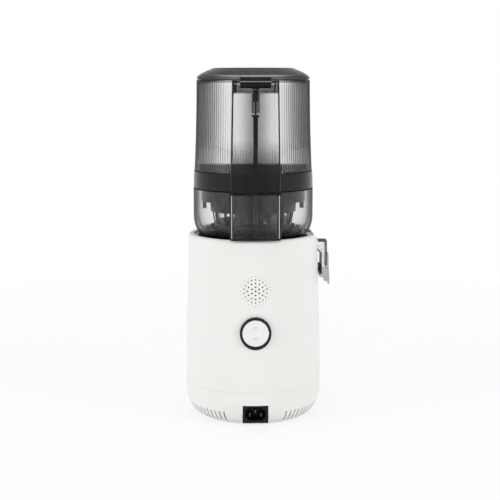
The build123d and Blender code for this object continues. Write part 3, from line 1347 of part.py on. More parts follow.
with BuildPart() as hopper_column:
    tapered(0, COLUMN_BACK)
    sides = hopper_column.edges().group_by(Axis.Y)[0].filter_by(lambda edge: abs((edge @ 0.5).X) > 20)
    fillet(sides, COLUMN_ROUND)
    tapered(COLUMN_WALL, COLUMN_BACK - COLUMN_WALL, Mode.SUBTRACT)
    pocket_outer = POCKET_HALF + COLUMN_WALL
    block((-pocket_outer, pocket_outer), (-COLUMN_BACK + 0.6, -62), (FLOOR_PLATE, HOPPER_TOP - 0.3))
    block(
        (-POCKET_HALF, POCKET_HALF),
        (-COLUMN_BACK - 5, -60),
        (POCKET_FLOOR, HOPPER_TOP + 5),
        Mode.SUBTRACT,
    )
    turned(
        (
            (0, HOPPER_RING_TOP - 1),
            (HOPPER_LOW_RADIUS + GAP, HOPPER_RING_TOP - 1),
            (HOPPER_TOP_RADIUS + GAP, HOPPER_TOP + 1),
            (0, HOPPER_TOP + 1),
        ),
        mode=Mode.SUBTRACT,
    )
    ring_room = HOPPER_RING_LOW_RADIUS + GAP
    disc(ring_room, HOPPER_COLUMN_LOW - 1, HOPPER_RING_TOP + 0.2, mode=Mode.SUBTRACT)
    disc(3.0 + 0.3, FLOOR_PLATE - 1, POCKET_FLOOR + 1, (0, -ROD_OFFSET), Mode.SUBTRACT)
    disc(3.0, HOPPER_COLUMN_LOW - 1, HOPPER_COLUMN_LOW + 5, (0, -ROD_OFFSET), Mode.SUBTRACT)
    bar(
        HINGE_PIN_RADIUS + FIT,
        (-pocket_outer - 1, -ROD_OFFSET, HINGE_HEIGHT),
        (pocket_outer + 1, -ROD_OFFSET, HINGE_HEIGHT),
        Mode.SUBTRACT,
    )
save("hopper_column", hopper_column)

with BuildPart() as hinge_pin:
    end = POCKET_HALF + COLUMN_WALL
    bar(HINGE_PIN_RADIUS, (-end, -ROD_OFFSET, HINGE_HEIGHT), (end, -ROD_OFFSET, HINGE_HEIGHT))
save("hinge_pin", hinge_pin)

SLEEVE_RADIUS = 4.7
SLEEVE_BORE = 3.35
SLEEVE_LOW = 379.3
HEAD_RADIUS = 3.0
NECK_RADIUS = 1.1
NECK_HIGH = 392.0
COLLAR_HIGH = 377.0
with BuildPart() as rod_guide:
    ring(SLEEVE_RADIUS, SLEEVE_BORE, SLEEVE_LOW, FLOOR_PLATE - 0.02, (0, -ROD_OFFSET))
    ring(SLEEVE_BORE + 0.5, NECK_RADIUS + 0.3, SLEEVE_LOW, SLEEVE_LOW + 1.2, (0, -ROD_OFFSET))
save("rod_guide", rod_guide)

HEAD_TOP = HINGE_HEIGHT - CAM_RADIUS - 0.5
with BuildPart() as push_rod:
    rod = (0, -ROD_OFFSET)
    disc(HEAD_RADIUS, NECK_HIGH, HEAD_TOP, rod)
    disc(NECK_RADIUS, COLLAR_HIGH - 1, NECK_HIGH + 1, rod)
    disc(4.4, COLLAR_HIGH - 2.4, COLLAR_HIGH, rod)
    turned(
        ((0, COLLAR_HIGH - 2), (2.9, COLLAR_HIGH - 2), (2.4, HOPPER_BASE + 0.2), (0, HOPPER_BASE + 0.2)),
        rod,
    )
save("push_rod", push_rod)

SPRING_LOW = SLEEVE_LOW + 1.3
SPRING_HIGH = NECK_HIGH - 0.1
WIRE = 0.35
with BuildPart() as rod_spring:
    coil_radius = 2.4
    height = SPRING_HIGH - SPRING_LOW - 2 * WIRE
    with BuildLine() as path:
        Helix(height / 6, height, coil_radius, center=(0, -ROD_OFFSET, SPRING_LOW + WIRE))
    with BuildSketch(
        Plane(origin=(coil_radius, -ROD_OFFSET, SPRING_LOW + WIRE), x_dir=(1, 0, 0), z_dir=(0, 1, 0))
    ) as wire:
        Circle(WIRE)
    sweep(wire.sketch, path=path.line, is_frenet=True)
save("rod_spring", rod_spring)

# ---------------------------------------------------------------- lid

SKIRT_RADIUS = 66.8
LID_OUTLINE = (
    (LID_RADIUS - 0.6, LID_RIM),
    (LID_RADIUS, LID_RIM + 1.0),
    (LID_RADIUS, LID_RIM + 3.2),
    (LID_RADIUS - 4.4, LID_RIM + 6.9),
    (LID_RADIUS - 9.0, LID_RIM + 9.4),
    (LID_RADIUS - 14.5, LID_RIM + 11.8),
    (LID_FLAT_RADIUS, LID_TOP),
)
with BuildPart() as lid:
    with BuildSketch(Plane.XZ) as outline:
        with BuildLine():
            rim = Polyline(*LID_OUTLINE[:3])
            dome = Spline(*LID_OUTLINE[2:])
            Polyline(LID_OUTLINE[-1], (0, LID_TOP), (0, LID_RIM), LID_OUTLINE[0])
        make_face()
    revolve(outline.sketch, axis=Axis.Z)
    with BuildSketch(Plane.XZ) as hollow:
        with BuildLine():
            Polyline(
                (0, LID_TOP - LID_WALL),
                (LID_FLAT_RADIUS - 1, LID_TOP - LID_WALL),
                (LID_RADIUS - 16.2, LID_RIM + 9.6),
                (LID_RADIUS - 10.4, LID_RIM + 7.2),
                (LID_RADIUS - 6.0, LID_RIM + 4.8),
                (LID_RADIUS - 3.6, LID_RIM + 1.6),
                (LID_RADIUS - 3.6, LID_RIM - 1),
                (0, LID_RIM - 1),
                close=True,
            )
        make_face()
    revolve(hollow.sketch, axis=Axis.Z, mode=Mode.SUBTRACT)
    ring(SKIRT_RADIUS, SKIRT_RADIUS - 1.8, LID_RIM - 3.5, LID_RIM + 2.4)
    slab(
        Plane.YZ,
        (
            (-LID_RADIUS + 1.5, LID_RIM + 0.2),
            (-LID_RADIUS + 2.5, LID_RIM + 3.4),
            (-ROD_OFFSET - 3.0, LID_RIM + 3.2),
            (-ROD_OFFSET - 4.2, LID_RIM + 1.8),
            (-ROD_OFFSET - 4.2, HINGE_HEIGHT + HINGE_BAR_RADIUS - 1.2),
            (-ROD_OFFSET + 4.2, HINGE_HEIGHT + HINGE_BAR_RADIUS - 1.2),
            (-ROD_OFFSET + 4.2, LID_RIM + 0.2),
        ),
        HINGE_BAR_HALF,
    )
    bar(
        HINGE_BAR_RADIUS + 0.02,
        (-HINGE_BAR_HALF - 1, -ROD_OFFSET, HINGE_HEIGHT),
        (HINGE_BAR_HALF + 1, -ROD_OFFSET, HINGE_HEIGHT),
        Mode.SUBTRACT,
    )
save("lid", lid)

CAM_HALF = 4.0
CAM_CORE = 2.7
with BuildPart() as hinge_bar:
    bar(
        HINGE_BAR_RADIUS,
        (-HINGE_BAR_HALF, -ROD_OFFSET, HINGE_HEIGHT),
        (HINGE_BAR_HALF, -ROD_OFFSET, HINGE_HEIGHT),
    )
    block(
        (-CAM_HALF, CAM_HALF),
        (-ROD_OFFSET - 6, -ROD_OFFSET + 6),
        (HINGE_HEIGHT - 6, HINGE_HEIGHT - CAM_CORE),
        Mode.SUBTRACT,
    )
    block(
        (-CAM_HALF - 0.5, CAM_HALF + 0.5),
        (-ROD_OFFSET - 1.1, -ROD_OFFSET + 1.1),
        (HINGE_HEIGHT - CAM_RADIUS, HINGE_HEIGHT - CAM_CORE + 0.5),
    )
    bar(
        HINGE_PIN_RADIUS + FIT,
        (-HINGE_BAR_HALF - 1, -ROD_OFFSET, HINGE_HEIGHT),
        (HINGE_BAR_HALF + 1, -ROD_OFFSET, HINGE_HEIGHT),
        Mode.SUBTRACT,
    )
save("hinge_bar", hinge_bar)
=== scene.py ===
# %% [markdown]
# # An upright slow juicer
# The real object is a tower of three parts: a white motor base, a clear juicing chamber with its
# spout, and a smoked hopper under a hinged lid. Its shapes and its joints come from the CAD model,
# so this lesson spends its time on light, on finishes, and on the small repeated details.
# We load the CAD model first. Each CAD node arrives as an object that already stands in its place.

# %% Load the model
import math

import bmesh
import bpy
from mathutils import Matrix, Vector


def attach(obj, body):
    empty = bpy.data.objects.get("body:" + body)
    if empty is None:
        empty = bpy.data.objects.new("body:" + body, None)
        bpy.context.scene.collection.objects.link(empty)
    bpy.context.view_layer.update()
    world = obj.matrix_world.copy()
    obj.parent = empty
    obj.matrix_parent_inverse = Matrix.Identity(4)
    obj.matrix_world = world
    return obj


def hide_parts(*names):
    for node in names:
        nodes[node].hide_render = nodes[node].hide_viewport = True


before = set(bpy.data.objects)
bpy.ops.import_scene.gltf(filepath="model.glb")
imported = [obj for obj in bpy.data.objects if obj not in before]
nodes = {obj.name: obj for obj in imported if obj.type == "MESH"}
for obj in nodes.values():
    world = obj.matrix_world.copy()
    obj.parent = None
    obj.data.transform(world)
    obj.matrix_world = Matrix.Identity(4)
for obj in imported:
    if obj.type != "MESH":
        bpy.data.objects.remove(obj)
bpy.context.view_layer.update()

# %% [markdown]
# ## The camera
# Product pictures of tall objects are taken from far away with a long lens, so that upright edges
# stay nearly parallel. The camera stands behind the juicer, a little to the left of the middle,
# just above the lid, and looks slightly down. A pinhole model gives all its numbers: the focal
# length in pixels, the distance, the height, and where the juicer's axis falls in the picture.

# %% Camera
PICTURE = 500
SENSOR = 36.0
FOCAL = 1157.6
DISTANCE = 1.440
EYE_HEIGHT = 0.421
PITCH = math.radians(8.5)
TURN = math.radians(2.1)
AXIS_PIXEL = 253.15


def add_camera():
    """A camera on a circle round the drive axis, aimed so that the axis sits at AXIS_PIXEL."""
    data = bpy.data.cameras.new("camera")
    data.sensor_fit = "HORIZONTAL"
    data.sensor_width = SENSOR
    data.lens = SENSOR * FOCAL / PICTURE
    camera = bpy.data.objects.new("camera", data)
    bpy.context.scene.collection.objects.link(camera)
    camera.location = (-DISTANCE * math.sin(TURN), -DISTANCE * math.cos(TURN), EYE_HEIGHT)
    aim = math.atan((AXIS_PIXEL - PICTURE / 2) / FOCAL)
    camera.rotation_euler = (math.pi / 2 - PITCH, 0, -TURN + aim)
    bpy.context.scene.camera = camera
    return camera


camera = add_camera()
print("lens in mm:", round(camera.data.lens, 1))

# %% [markdown]
# ## Node helpers
# The world, the materials and the hopper wall all do small sums with nodes. One helper adds a Math
# node, another adds a Map Range node, and both take a number or a socket for each of their inputs.

# %% Small sums with nodes


def feed(tree, socket, value):
    """Gives an input socket a number, or a link from another node."""
    if isinstance(value, (int, float)):
        socket.default_value = value
    elif value is not None:
        tree.links.new(value, socket)


def maths(tree, operation, first, second=None):
    """A Math node."""
    node = tree.nodes.new("ShaderNodeMath")
    node.operation = operation
    feed(tree, node.inputs[0], first)
    feed(tree, node.inputs[1], second)
    return node.outputs[0]


def ranged(tree, value, start, end, low, high, ease=False):
    """A Map Range node, which fades softly at both ends if ease is set."""
    node = tree.nodes.new("ShaderNodeMapRange")
    if ease:
        node.interpolation_type = "SMOOTHSTEP"
    places = ("Value", "From Min", "From Max", "To Min", "To Max")
    for place, given in zip(places, (value, start, end, low, high)):
        feed(tree, node.inputs[place], given)
    return node.outputs["Result"]


print("node helpers: feed, maths and ranged")

# %% [markdown]
# ## Light
# A white appliance on white needs soft light that is a little weaker at the edges, or its outline
# is lost. Two large area lamps stand on the camera's side and one hangs overhead. They are hidden
# from reflections, because a flat glossy face such as the lid's top would show one of them as a
# hard-edged white patch. The world is white where the camera or a clear part sees it, a soft grey
# in reflections, and a little dimmer as a light source. A Light Path node tells those rays apart.

# %% World and lamps
scene = bpy.context.scene
scene.view_settings.view_transform = "Standard"
SEEN = 1.0
MIRRORED = 0.5
FILL = 0.47
LAMP_TARGET = (0, 0, 0.2)
LAMPS = (  # name, place, width in metres, watts
    ("left_softbox", (-1.75, -1.0, 0.85), 0.9, 14.7),
    ("right_softbox", (1.65, -1.15, 0.85), 0.9, 13.6),
    ("top_softbox", (0, 0.1, 1.7), 1.1, 9.6),
)


def ray_kinds(tree):
    """Two sockets: 1 for rays that should see white, and 1 for rays from a reflection."""
    path = tree.nodes.new("ShaderNodeLightPath")
    seen = maths(tree, "MAXIMUM", path.outputs["Is Camera Ray"], path.outputs["Is Transmission Ray"])
    return seen, path.outputs["Is Glossy Ray"]


def add_world():
    """A world that is seen as white and lights the object more weakly."""
    world = bpy.data.worlds.new("studio")
    scene.world = world
    world.use_nodes = True
    tree = world.node_tree
    tree.nodes.clear()
    seen, glossy = ray_kinds(tree)
    unseen = ranged(tree, glossy, 0.0, 1.0, FILL, MIRRORED)
    light = tree.nodes.new("ShaderNodeBackground")
    light.inputs["Color"].default_value = (1.0, 1.0, 1.0, 1.0)
    out = tree.nodes.new("ShaderNodeOutputWorld")
    tree.links.new(ranged(tree, seen, 0.0, 1.0, unseen, SEEN), light.inputs["Strength"])
    tree.links.new(light.outputs["Background"], out.inputs["Surface"])


def area_lamp(name, place, size, watts):
    """A square soft lamp that looks at the juicer and doesn't show in reflections."""
    data = bpy.data.lights.new(name, "AREA")
    data.shape = "SQUARE"
    data.size = size
    data.energy = watts
    lamp = bpy.data.objects.new(name, data)
    scene.collection.objects.link(lamp)
    lamp.location = place
    aim = Vector(LAMP_TARGET) - Vector(place)
    lamp.rotation_euler = aim.to_track_quat("-Z", "Y").to_euler()
    lamp.visible_glossy = False


add_world()
for lamp_row in LAMPS:
    area_lamp(*lamp_row)
print("lamps:", len(LAMPS))

# %% [markdown]
# ## The floor
# The floor is a plain pale sheet. Most of what the camera sees of it is flat white, and near the
# juicer a share of it is lit, so that it keeps a faint shadow. That share fades out with the
# distance from the juicer, and so no horizon shows.

# %% Floor
FLOOR_HALF = 6.0
PAPER = (0.93, 0.93, 0.93, 1)
SHADOW_SHARE = 0.2
SHADOW_REACH = (0.25, 1.1)


def add_floor():
    """A large flat sheet at the height of the juicer's feet."""
    mesh = bpy.data.meshes.new("floor")
    half = FLOOR_HALF
    corners = [(-half, -half, 0), (half, -half, 0), (half, half, 0), (-half, half, 0)]
    mesh.from_pydata(corners, [], [(0, 1, 2, 3)])
    floor = bpy.data.objects.new("floor", mesh)
    scene.collection.objects.link(floor)
    material = bpy.data.materials.new("floor_paper")
    material.use_nodes = True
    tree = material.node_tree
    tree.nodes.clear()
    paper = tree.nodes.new("ShaderNodeBsdfDiffuse")
    paper.inputs["Color"].default_value = PAPER
    white = tree.nodes.new("ShaderNodeEmission")
    white.inputs["Strength"].default_value = SEEN
    place = tree.nodes.new("ShaderNodeTexCoord")
    distance = tree.nodes.new("ShaderNodeVectorMath")
    distance.operation = "LENGTH"
    tree.links.new(place.outputs["Object"], distance.inputs[0])
    fade = ranged(tree, distance.outputs["Value"], *SHADOW_REACH, 1.0 - SHADOW_SHARE, 1.0)
    seen, glossy = ray_kinds(tree)
    share = maths(tree, "MULTIPLY", maths(tree, "MAXIMUM", seen, glossy), fade)
    mix = tree.nodes.new("ShaderNodeMixShader")
    out = tree.nodes.new("ShaderNodeOutputMaterial")
    tree.links.new(share, mix.inputs["Fac"])
    tree.links.new(paper.outputs["BSDF"], mix.inputs[1])
    tree.links.new(white.outputs["Emission"], mix.inputs[2])
    tree.links.new(mix.outputs["Shader"], out.inputs["Surface"])
    mesh.materials.append(material)


add_floor()
print("floor:", 2 * FLOOR_HALF, "m wide")

# %% [markdown]
# ## Finishes
# Almost all of the juicer is moulded plastic. A moulded wall is never perfectly even: its gloss
# changes a little from place to place, and its surface has a very fine waviness. One helper makes
# every opaque finish from those two things, both read from Object coordinates in metres.

# %% Moulded plastic, rubber and metal
GLOSS_SCALE = 45.0
TINT_SCALE = 30.0
GRAIN_DEPTH = 0.00005


def new_material(name):
    """An empty node material with a Principled shader joined to its output."""
    material = bpy.data.materials.new(name)
    material.use_nodes = True
    tree = material.node_tree
    tree.nodes.clear()
    shader = tree.nodes.new("ShaderNodeBsdfPrincipled")
    out = tree.nodes.new("ShaderNodeOutputMaterial")
    tree.links.new(shader.outputs["BSDF"], out.inputs["Surface"])
    return material, tree, shader, out


def cloudy(tree, scale, detail=3.0):
    """A noise pattern on Object coordinates."""
    place = tree.nodes.new("ShaderNodeTexCoord")
    noise = tree.nodes.new("ShaderNodeTexNoise")
    noise.inputs["Scale"].default_value = scale
    noise.inputs["Detail"].default_value = detail
    tree.links.new(place.outputs["Object"], noise.inputs["Vector"])
    return noise


def uneven_gloss(tree, shader, low, high):
    """Roughness that drifts between two values."""
    noise = cloudy(tree, GLOSS_SCALE)
    spread = ranged(tree, noise.outputs["Fac"], 0.0, 1.0, low, high)
    tree.links.new(spread, shader.inputs["Roughness"])


def fine_grain(tree, shader, strength, scale):
    """A fine bump on the whole surface."""
    noise = cloudy(tree, scale, 2.0)
    bump = tree.nodes.new("ShaderNodeBump")
    bump.inputs["Strength"].default_value = strength
    bump.inputs["Distance"].default_value = GRAIN_DEPTH
    tree.links.new(noise.outputs["Fac"], bump.inputs["Height"])
    tree.links.new(bump.outputs["Normal"], shader.inputs["Normal"])


def tinted(tree, shader, colour, change):
    """A base colour with a slight drift in lightness."""
    noise = cloudy(tree, TINT_SCALE)
    ramp = tree.nodes.new("ShaderNodeValToRGB")
    darker = [channel * (1 - change) for channel in colour]
    ramp.color_ramp.elements[0].color = (*darker, 1)
    ramp.color_ramp.elements[1].color = (*colour, 1)
    tree.links.new(noise.outputs["Fac"], ramp.inputs["Fac"])
    tree.links.new(ramp.outputs["Color"], shader.inputs["Base Color"])


def moulded(
    name, colour, gloss=(0.3, 0.36), grain=0.15, grain_scale=1500.0, change=0.02, metal=0.0, shine=0.5
):
    """An opaque finish. gloss is a range of roughness and change a share of the lightness."""
    material, tree, shader, _ = new_material(name)
    shader.inputs["Specular IOR Level"].default_value = shine
    tinted(tree, shader, colour, change)
    uneven_gloss(tree, shader, *gloss)
    fine_grain(tree, shader, grain, grain_scale)
    shader.inputs["Metallic"].default_value = metal
    return material


finish = {
    "white": moulded("white_shell", (0.9, 0.885, 0.866), (0.34, 0.4), 0.08),
    "inner_white": moulded("white_inside", (0.84, 0.84, 0.83), (0.45, 0.5)),
    "black": moulded("black_moulding", (0.006, 0.006, 0.0065), (0.42, 0.5), 0.3, shine=0.22),
    "dark": moulded("dark_grey_ring", (0.012, 0.0115, 0.011), (0.2, 0.26), 0.04, shine=0.35),
    "bezel": moulded("black_gloss_ring", (0.006, 0.006, 0.0065), (0.2, 0.26), 0.05, shine=0.3),
    "rod": moulded("dark_brown_rod", (0.02, 0.0165, 0.0155), (0.3, 0.36), 0.1, shine=0.3),
    "grey": moulded("grey_moulding", (0.2, 0.2, 0.21), (0.4, 0.48)),
    "rubber": moulded("grey_silicone", (0.17, 0.17, 0.18), (0.6, 0.68), 0.3),
    "black_rubber": moulded("black_seal", (0.01, 0.01, 0.011), (0.5, 0.58), 0.3),
    "steel": moulded("turned_steel", (0.58, 0.58, 0.57), (0.22, 0.3), 0.1, 900.0, 0.05, metal=1.0),
    "pin_metal": moulded("dull_pins", (0.14, 0.14, 0.15), (0.45, 0.55), 0.1, 900.0, 0.05, metal=1.0),
    "copper": moulded("copper_wire", (0.6, 0.24, 0.1), (0.28, 0.36), 0.4, 2600.0, 0.1, metal=1.0),
    "laminated": moulded("steel_laminations", (0.3, 0.3, 0.31), (0.4, 0.5), 0.4, 2200.0, 0.1, metal=1.0),
    "board": moulded("board_green", (0.02, 0.13, 0.06), (0.35, 0.4), 0.2),
}
print("opaque finishes:", len(finish))

# %% [markdown]
# ## Clear plastic
# The hopper, the columns and the chamber are one material in several strengths: clear plastic with
# a smoke tint. Two things darken it. A Volume Absorption node tints the inside of the wall, so a
# long way through the plastic looks darker than a short one. A Layer Weight node darkens the skin
# in steps where the wall turns away from the eye. That is partly real, because there the wall
# carries more light sideways and lets less through, and partly painted shade for the dark
# surroundings that the edges of smoked plastic show. Beyond the last steps the shader fades into
# plain black, which is painted shade too. That gives the near-black outlines of smoked plastic.

# %% Clear plastic
FACING_BLEND = 0.5
RIM_SHADE_COLOUR = (0.006, 0.006, 0.0065, 1)
RIM_ROUGHNESS = 0.35
RIM_SHINE = 0.1


def grey(lightness):
    """An opaque grey: red, green, blue and alpha."""
    return (lightness, lightness, lightness, 1)


def smoked(name, tint, density, skin, roughness=0.0, ior=1.3, rim=(0.7, 0.82), shade=None):
    """Clear plastic, darker along a long way through it, and with painted shade where it turns away.

    skin has (turn, lightness) steps, rim has the turns between which the skin becomes black as
    painted shade, and shade builds a socket of painted shade that scales the skin's lightness from
    place to place."""
    material, tree, shader, out = new_material(name)
    shader.inputs["Transmission Weight"].default_value = 1.0
    shader.inputs["IOR"].default_value = ior
    shader.inputs["Roughness"].default_value = roughness
    # Partly painted shade: the skin darkens in steps where the wall turns away from the eye.
    weight = tree.nodes.new("ShaderNodeLayerWeight")
    weight.inputs["Blend"].default_value = FACING_BLEND
    ramp = tree.nodes.new("ShaderNodeValToRGB")
    steps = ramp.color_ramp.elements
    for step, (turn, lightness) in zip((steps[0], steps[1]), (skin[0], skin[-1])):
        step.position, step.color = turn, grey(lightness)
    for turn, lightness in skin[1:-1]:
        steps.new(turn).color = grey(lightness)
    tree.links.new(weight.outputs["Facing"], ramp.inputs["Fac"])
    colour = ramp.outputs["Color"]
    # Painted shade: the shade socket scales the skin's lightness down from place to place.
    if shade:
        dim = tree.nodes.new("ShaderNodeVectorMath")
        dim.operation = "SCALE"
        tree.links.new(colour, dim.inputs[0])
        tree.links.new(shade(tree), dim.inputs["Scale"])
        colour = dim.outputs["Vector"]
    tree.links.new(colour, shader.inputs["Base Color"])
    # Painted shade: past the rim's turns the glass fades into this plain black shader.
    black = tree.nodes.new("ShaderNodeBsdfPrincipled")
    black.inputs["Base Color"].default_value = RIM_SHADE_COLOUR
    black.inputs["Roughness"].default_value = RIM_ROUGHNESS
    black.inputs["Specular IOR Level"].default_value = RIM_SHINE
    mix = tree.nodes.new("ShaderNodeMixShader")
    tree.links.new(ranged(tree, weight.outputs["Facing"], *rim, 0.0, 1.0), mix.inputs["Fac"])
    tree.links.new(shader.outputs["BSDF"], mix.inputs[1])
    tree.links.new(black.outputs["BSDF"], mix.inputs[2])
    tree.links.new(mix.outputs["Shader"], out.inputs["Surface"])
    inside = tree.nodes.new("ShaderNodeVolumeAbsorption")
    inside.inputs["Color"].default_value = (*tint, 1)
    inside.inputs["Density"].default_value = density
    tree.links.new(inside.outputs["Volume"], out.inputs["Volume"])
    return material


print("rim colour:", RIM_SHADE_COLOUR[:3])

# %% [markdown]
# ## Skins and painted shade
# Each skin is a row of steps: how far the wall turns away, and how light it is there. Some places
# have to be dark however they are turned: the middle and the low end of a column, a field behind
# the hinge bar, and the foot of the hopper's wall. Nothing in the model makes them dark, so a rule
# on Object coordinates scales the skin's lightness down there. This is painted shade: it stands in
# for the shade in the pocket behind the hinge bar and where the hopper meets its ring, for the dark
# parts seen through a column's low end, and for the dark surroundings that a column's middle shows.

# %% Clear plastic finishes
# The darker steps of each skin are partly painted shade for the dark surroundings seen at the edges.
THIN_SKIN = ((0.12, 1.0), (0.28, 0.42), (0.5, 0.26), (0.68, 0.2), (0.78, 0.0))
BOWL_SKIN = ((0.15, 1.0), (0.45, 0.8), (0.6, 0.5), (0.7, 0.1), (0.78, 0.0))
PANEL_SKIN = ((0.08, 1.0), (0.3, 0.75), (0.6, 0.4), (0.8, 0.05))
LID_SKIN = ((0.1, 0.75), (0.5, 0.4), (0.94, 0.12))
LEVER_SKIN = ((0.1, 1.0), (0.6, 0.95), (0.9, 0.5))
WALL_RIM = (0.64, 0.76)
MIDDLE_REACH = (0.003, 0.024)
PLATE_HALF = 0.0235
PLATE_HEIGHTS = (0.4035, 0.4168)


def painted_shade_places(middle, low_end, low, plate):
    """Paints shade on a wall: darker at its middle, towards its low end, and behind the hinge bar.

    middle, low and plate are shares of the lightness, and low_end has the two heights between
    which the low end fades out."""
    def build(tree):
        place = tree.nodes.new("ShaderNodeTexCoord")
        split = tree.nodes.new("ShaderNodeSeparateXYZ")
        tree.links.new(place.outputs["Object"], split.inputs[0])
        aside = maths(tree, "ABSOLUTE", split.outputs["X"])
        across = ranged(tree, aside, *MIDDLE_REACH, middle, 1.0, ease=True)
        down = ranged(tree, split.outputs["Z"], *low_end, low, 1.0, ease=True)
        inside = maths(tree, "LESS_THAN", aside, PLATE_HALF)
        back = maths(tree, "LESS_THAN", split.outputs["Y"], 0.0)
        inside = maths(tree, "MULTIPLY", inside, back)
        for operation, height in zip(("GREATER_THAN", "LESS_THAN"), PLATE_HEIGHTS):
            beyond = maths(tree, operation, split.outputs["Z"], height)
            inside = maths(tree, "MULTIPLY", inside, beyond)
        behind = maths(tree, "SUBTRACT", 1.0, maths(tree, "MULTIPLY", inside, 1.0 - plate))
        return maths(tree, "MULTIPLY", maths(tree, "MULTIPLY", across, down), behind)
    return build


# Painted shade for the columns, and for the hopper's foot and the field behind its hinge bar.
HIGH_COLUMN_SHADE = painted_shade_places(0.42, (0.312, 0.352), 0.3, 0.12)
LOW_COLUMN_SHADE = painted_shade_places(0.6, (0.2, 0.26), 0.9, 1.0)
HOPPER_SHADE = painted_shade_places(1.0, (0.308, 0.3105), 0.06, 0.15)
finish["hopper"] = smoked(
    "smoked_hopper", (0.44, 0.42, 0.395), 70.0, THIN_SKIN, rim=WALL_RIM, shade=HOPPER_SHADE
)
finish["column"] = smoked(
    "smoked_column", (0.43, 0.42, 0.41), 120.0, PANEL_SKIN, rim=(0.62, 0.76), shade=HIGH_COLUMN_SHADE
)
finish["guide"] = smoked("smoked_guide", (0.43, 0.42, 0.41), 190.0, PANEL_SKIN)
finish["lid"] = smoked("smoked_lid", (0.4, 0.385, 0.37), 260.0, LID_SKIN, ior=1.25, rim=(0.985, 0.995))
finish["chamber"] = smoked("smoked_chamber", (0.43, 0.44, 0.46), 50.0, BOWL_SKIN, rim=WALL_RIM)
finish["low_column"] = smoked(
    "smoked_low_column", (0.4, 0.42, 0.45), 60.0, PANEL_SKIN, rim=(0.42, 0.55), shade=LOW_COLUMN_SHADE
)
finish["lever"] = smoked(
    "clear_lever", (0.5, 0.5, 0.5), 60.0, LEVER_SKIN, roughness=0.15, ior=1.4, rim=(0.94, 0.99)
)
print("finishes now:", len(finish))

# %% [markdown]
# ## Which node wears which finish
# A finish is given by filling the object's material slot. The CAD meshes themselves stay as they
# are.

# %% Dress the CAD nodes
WEARS = {
    "white": ("base_housing", "lower_shell", "rocker_button"),
    "inner_white": ("base_deck",),
    "black": (
        "inlet_socket", "board_parts", "interlock_switch", "interlock_button", "cooling_fan",
        "chamber_ring", "strainer_seat", "hinge_bar",
    ),
    "bezel": ("switch_bezel",),
    "dark": ("hopper_ring", "strainer_frame", "auger", "feed_wing"),
    "grey": (
        "switch_body", "motor_end_plate", "gearbox_case", "gearbox_cover", "layshaft_gear", "output_gear",
    ),
    "rubber": ("rubber_feet", "centre_packing", "pulp_packing"),
    "black_rubber": ("shaft_seal", "spout_bumper", "lever_seal"),
    "steel": (
        "base_screws", "motor_bearings", "gearbox_plate", "gearbox_bearings",
        "gearbox_screws", "motor_shaft", "motor_pinion", "layshaft", "layshaft_pinion", "output_shaft",
        "auger_socket", "hinge_pin", "rod_spring",
    ),
    "pin_metal": ("inlet_pins",),
    "copper": ("field_windings", "commutator"),
    "laminated": ("motor_can", "stator_core", "rotor_core"),
    "board": ("control_board",),
    "hopper": ("hopper_body",),
    "column": ("hopper_column",),
    "guide": ("rod_guide",),
    "low_column": ("chamber_column",),
    "lid": ("lid",),
    "chamber": ("chamber_bowl", "strainer_screen", "lower_rod"),
    "lever": ("spout_lever",),
    "rod": ("push_rod",),
}


def dress(node, material):
    """Gives one CAD node one material."""
    target = nodes[node]
    target.data.materials.clear()
    target.data.materials.append(material)


for key, names in WEARS.items():
    for name in names:
        dress(name, finish[key])
undressed = sorted(set(nodes) - {name for names in WEARS.values() for name in names})
print("nodes dressed:", len(nodes) - len(undressed), "left over:", undressed)

# %% [markdown]
# ## The fluted hopper wall
# The hopper is smooth outside and fluted inside, from top to bottom, with deeper flutes in a short
# band above its dark ring. A wall like this follows a rule, so a Geometry Nodes tree makes it: a
# grid is wrapped round the axis, each of its rows takes its radius and height from one point of a
# small profile mesh, and a sine wave pushes the inner rows outward and back. All the sizes are
# inputs of the tree.

# %% The wall's profile
MM = 0.001
FLUTES = 132
STEPS = 6
HOPPER_WALL = 2.2
SHALLOW, DEEP = 0.4, 1.0
HOPPER_LOW, HOPPER_HIGH = 306.5, 417.5
LOW_RADIUS, TAPER, BEND = 72.8, 3.1, 0.7755
WELD = 0.000005


def hopper_radius(height):
    """The hopper's outside radius in mm at a height in mm."""
    rise = (height - HOPPER_LOW) / (HOPPER_HIGH - HOPPER_LOW)
    return LOW_RADIUS - TAPER * ((1 + BEND) * rise - BEND * rise * rise)


def hopper_profile():
    """The wall's closed cross-section as a mesh of points: radius, flute depth, height."""
    outside = (HOPPER_LOW, 309.5, 312, 320, 330, 340, 352, 365, 380, 395, 408, 416.6)
    rows = [(hopper_radius(height), 0.0, height) for height in outside]
    # The lip at the top is rounded, first outside and then inside.
    rows += [(hopper_radius(417.2) - 0.12, 0.0, 417.25), (hopper_radius(417.5) - 0.6, 0.0, 417.5)]
    rows += [(hopper_radius(417.5) - HOPPER_WALL + 0.55, 0, 417.5)]
    rows += [(hopper_radius(417.2) - HOPPER_WALL + 0.05, 0, 417.2)]
    inside = [(412.5, 0.0)]
    inside += [(height, SHALLOW) for height in (411.5, 400, 385, 370, 355, 345, 336.5)]
    inside += [(height, DEEP) for height in (334.5, 325, 316, HOPPER_LOW + 1.0, HOPPER_LOW)]
    rows += [(hopper_radius(height) - HOPPER_WALL, depth, height) for height, depth in inside]
    mesh = bpy.data.meshes.new("hopper_profile")
    mesh.from_pydata([(MM * radius, MM * depth, MM * height) for radius, depth, height in rows], [], [])
    return mesh


profile = hopper_profile()
print("profile points:", len(profile.vertices))

# %% The node tree


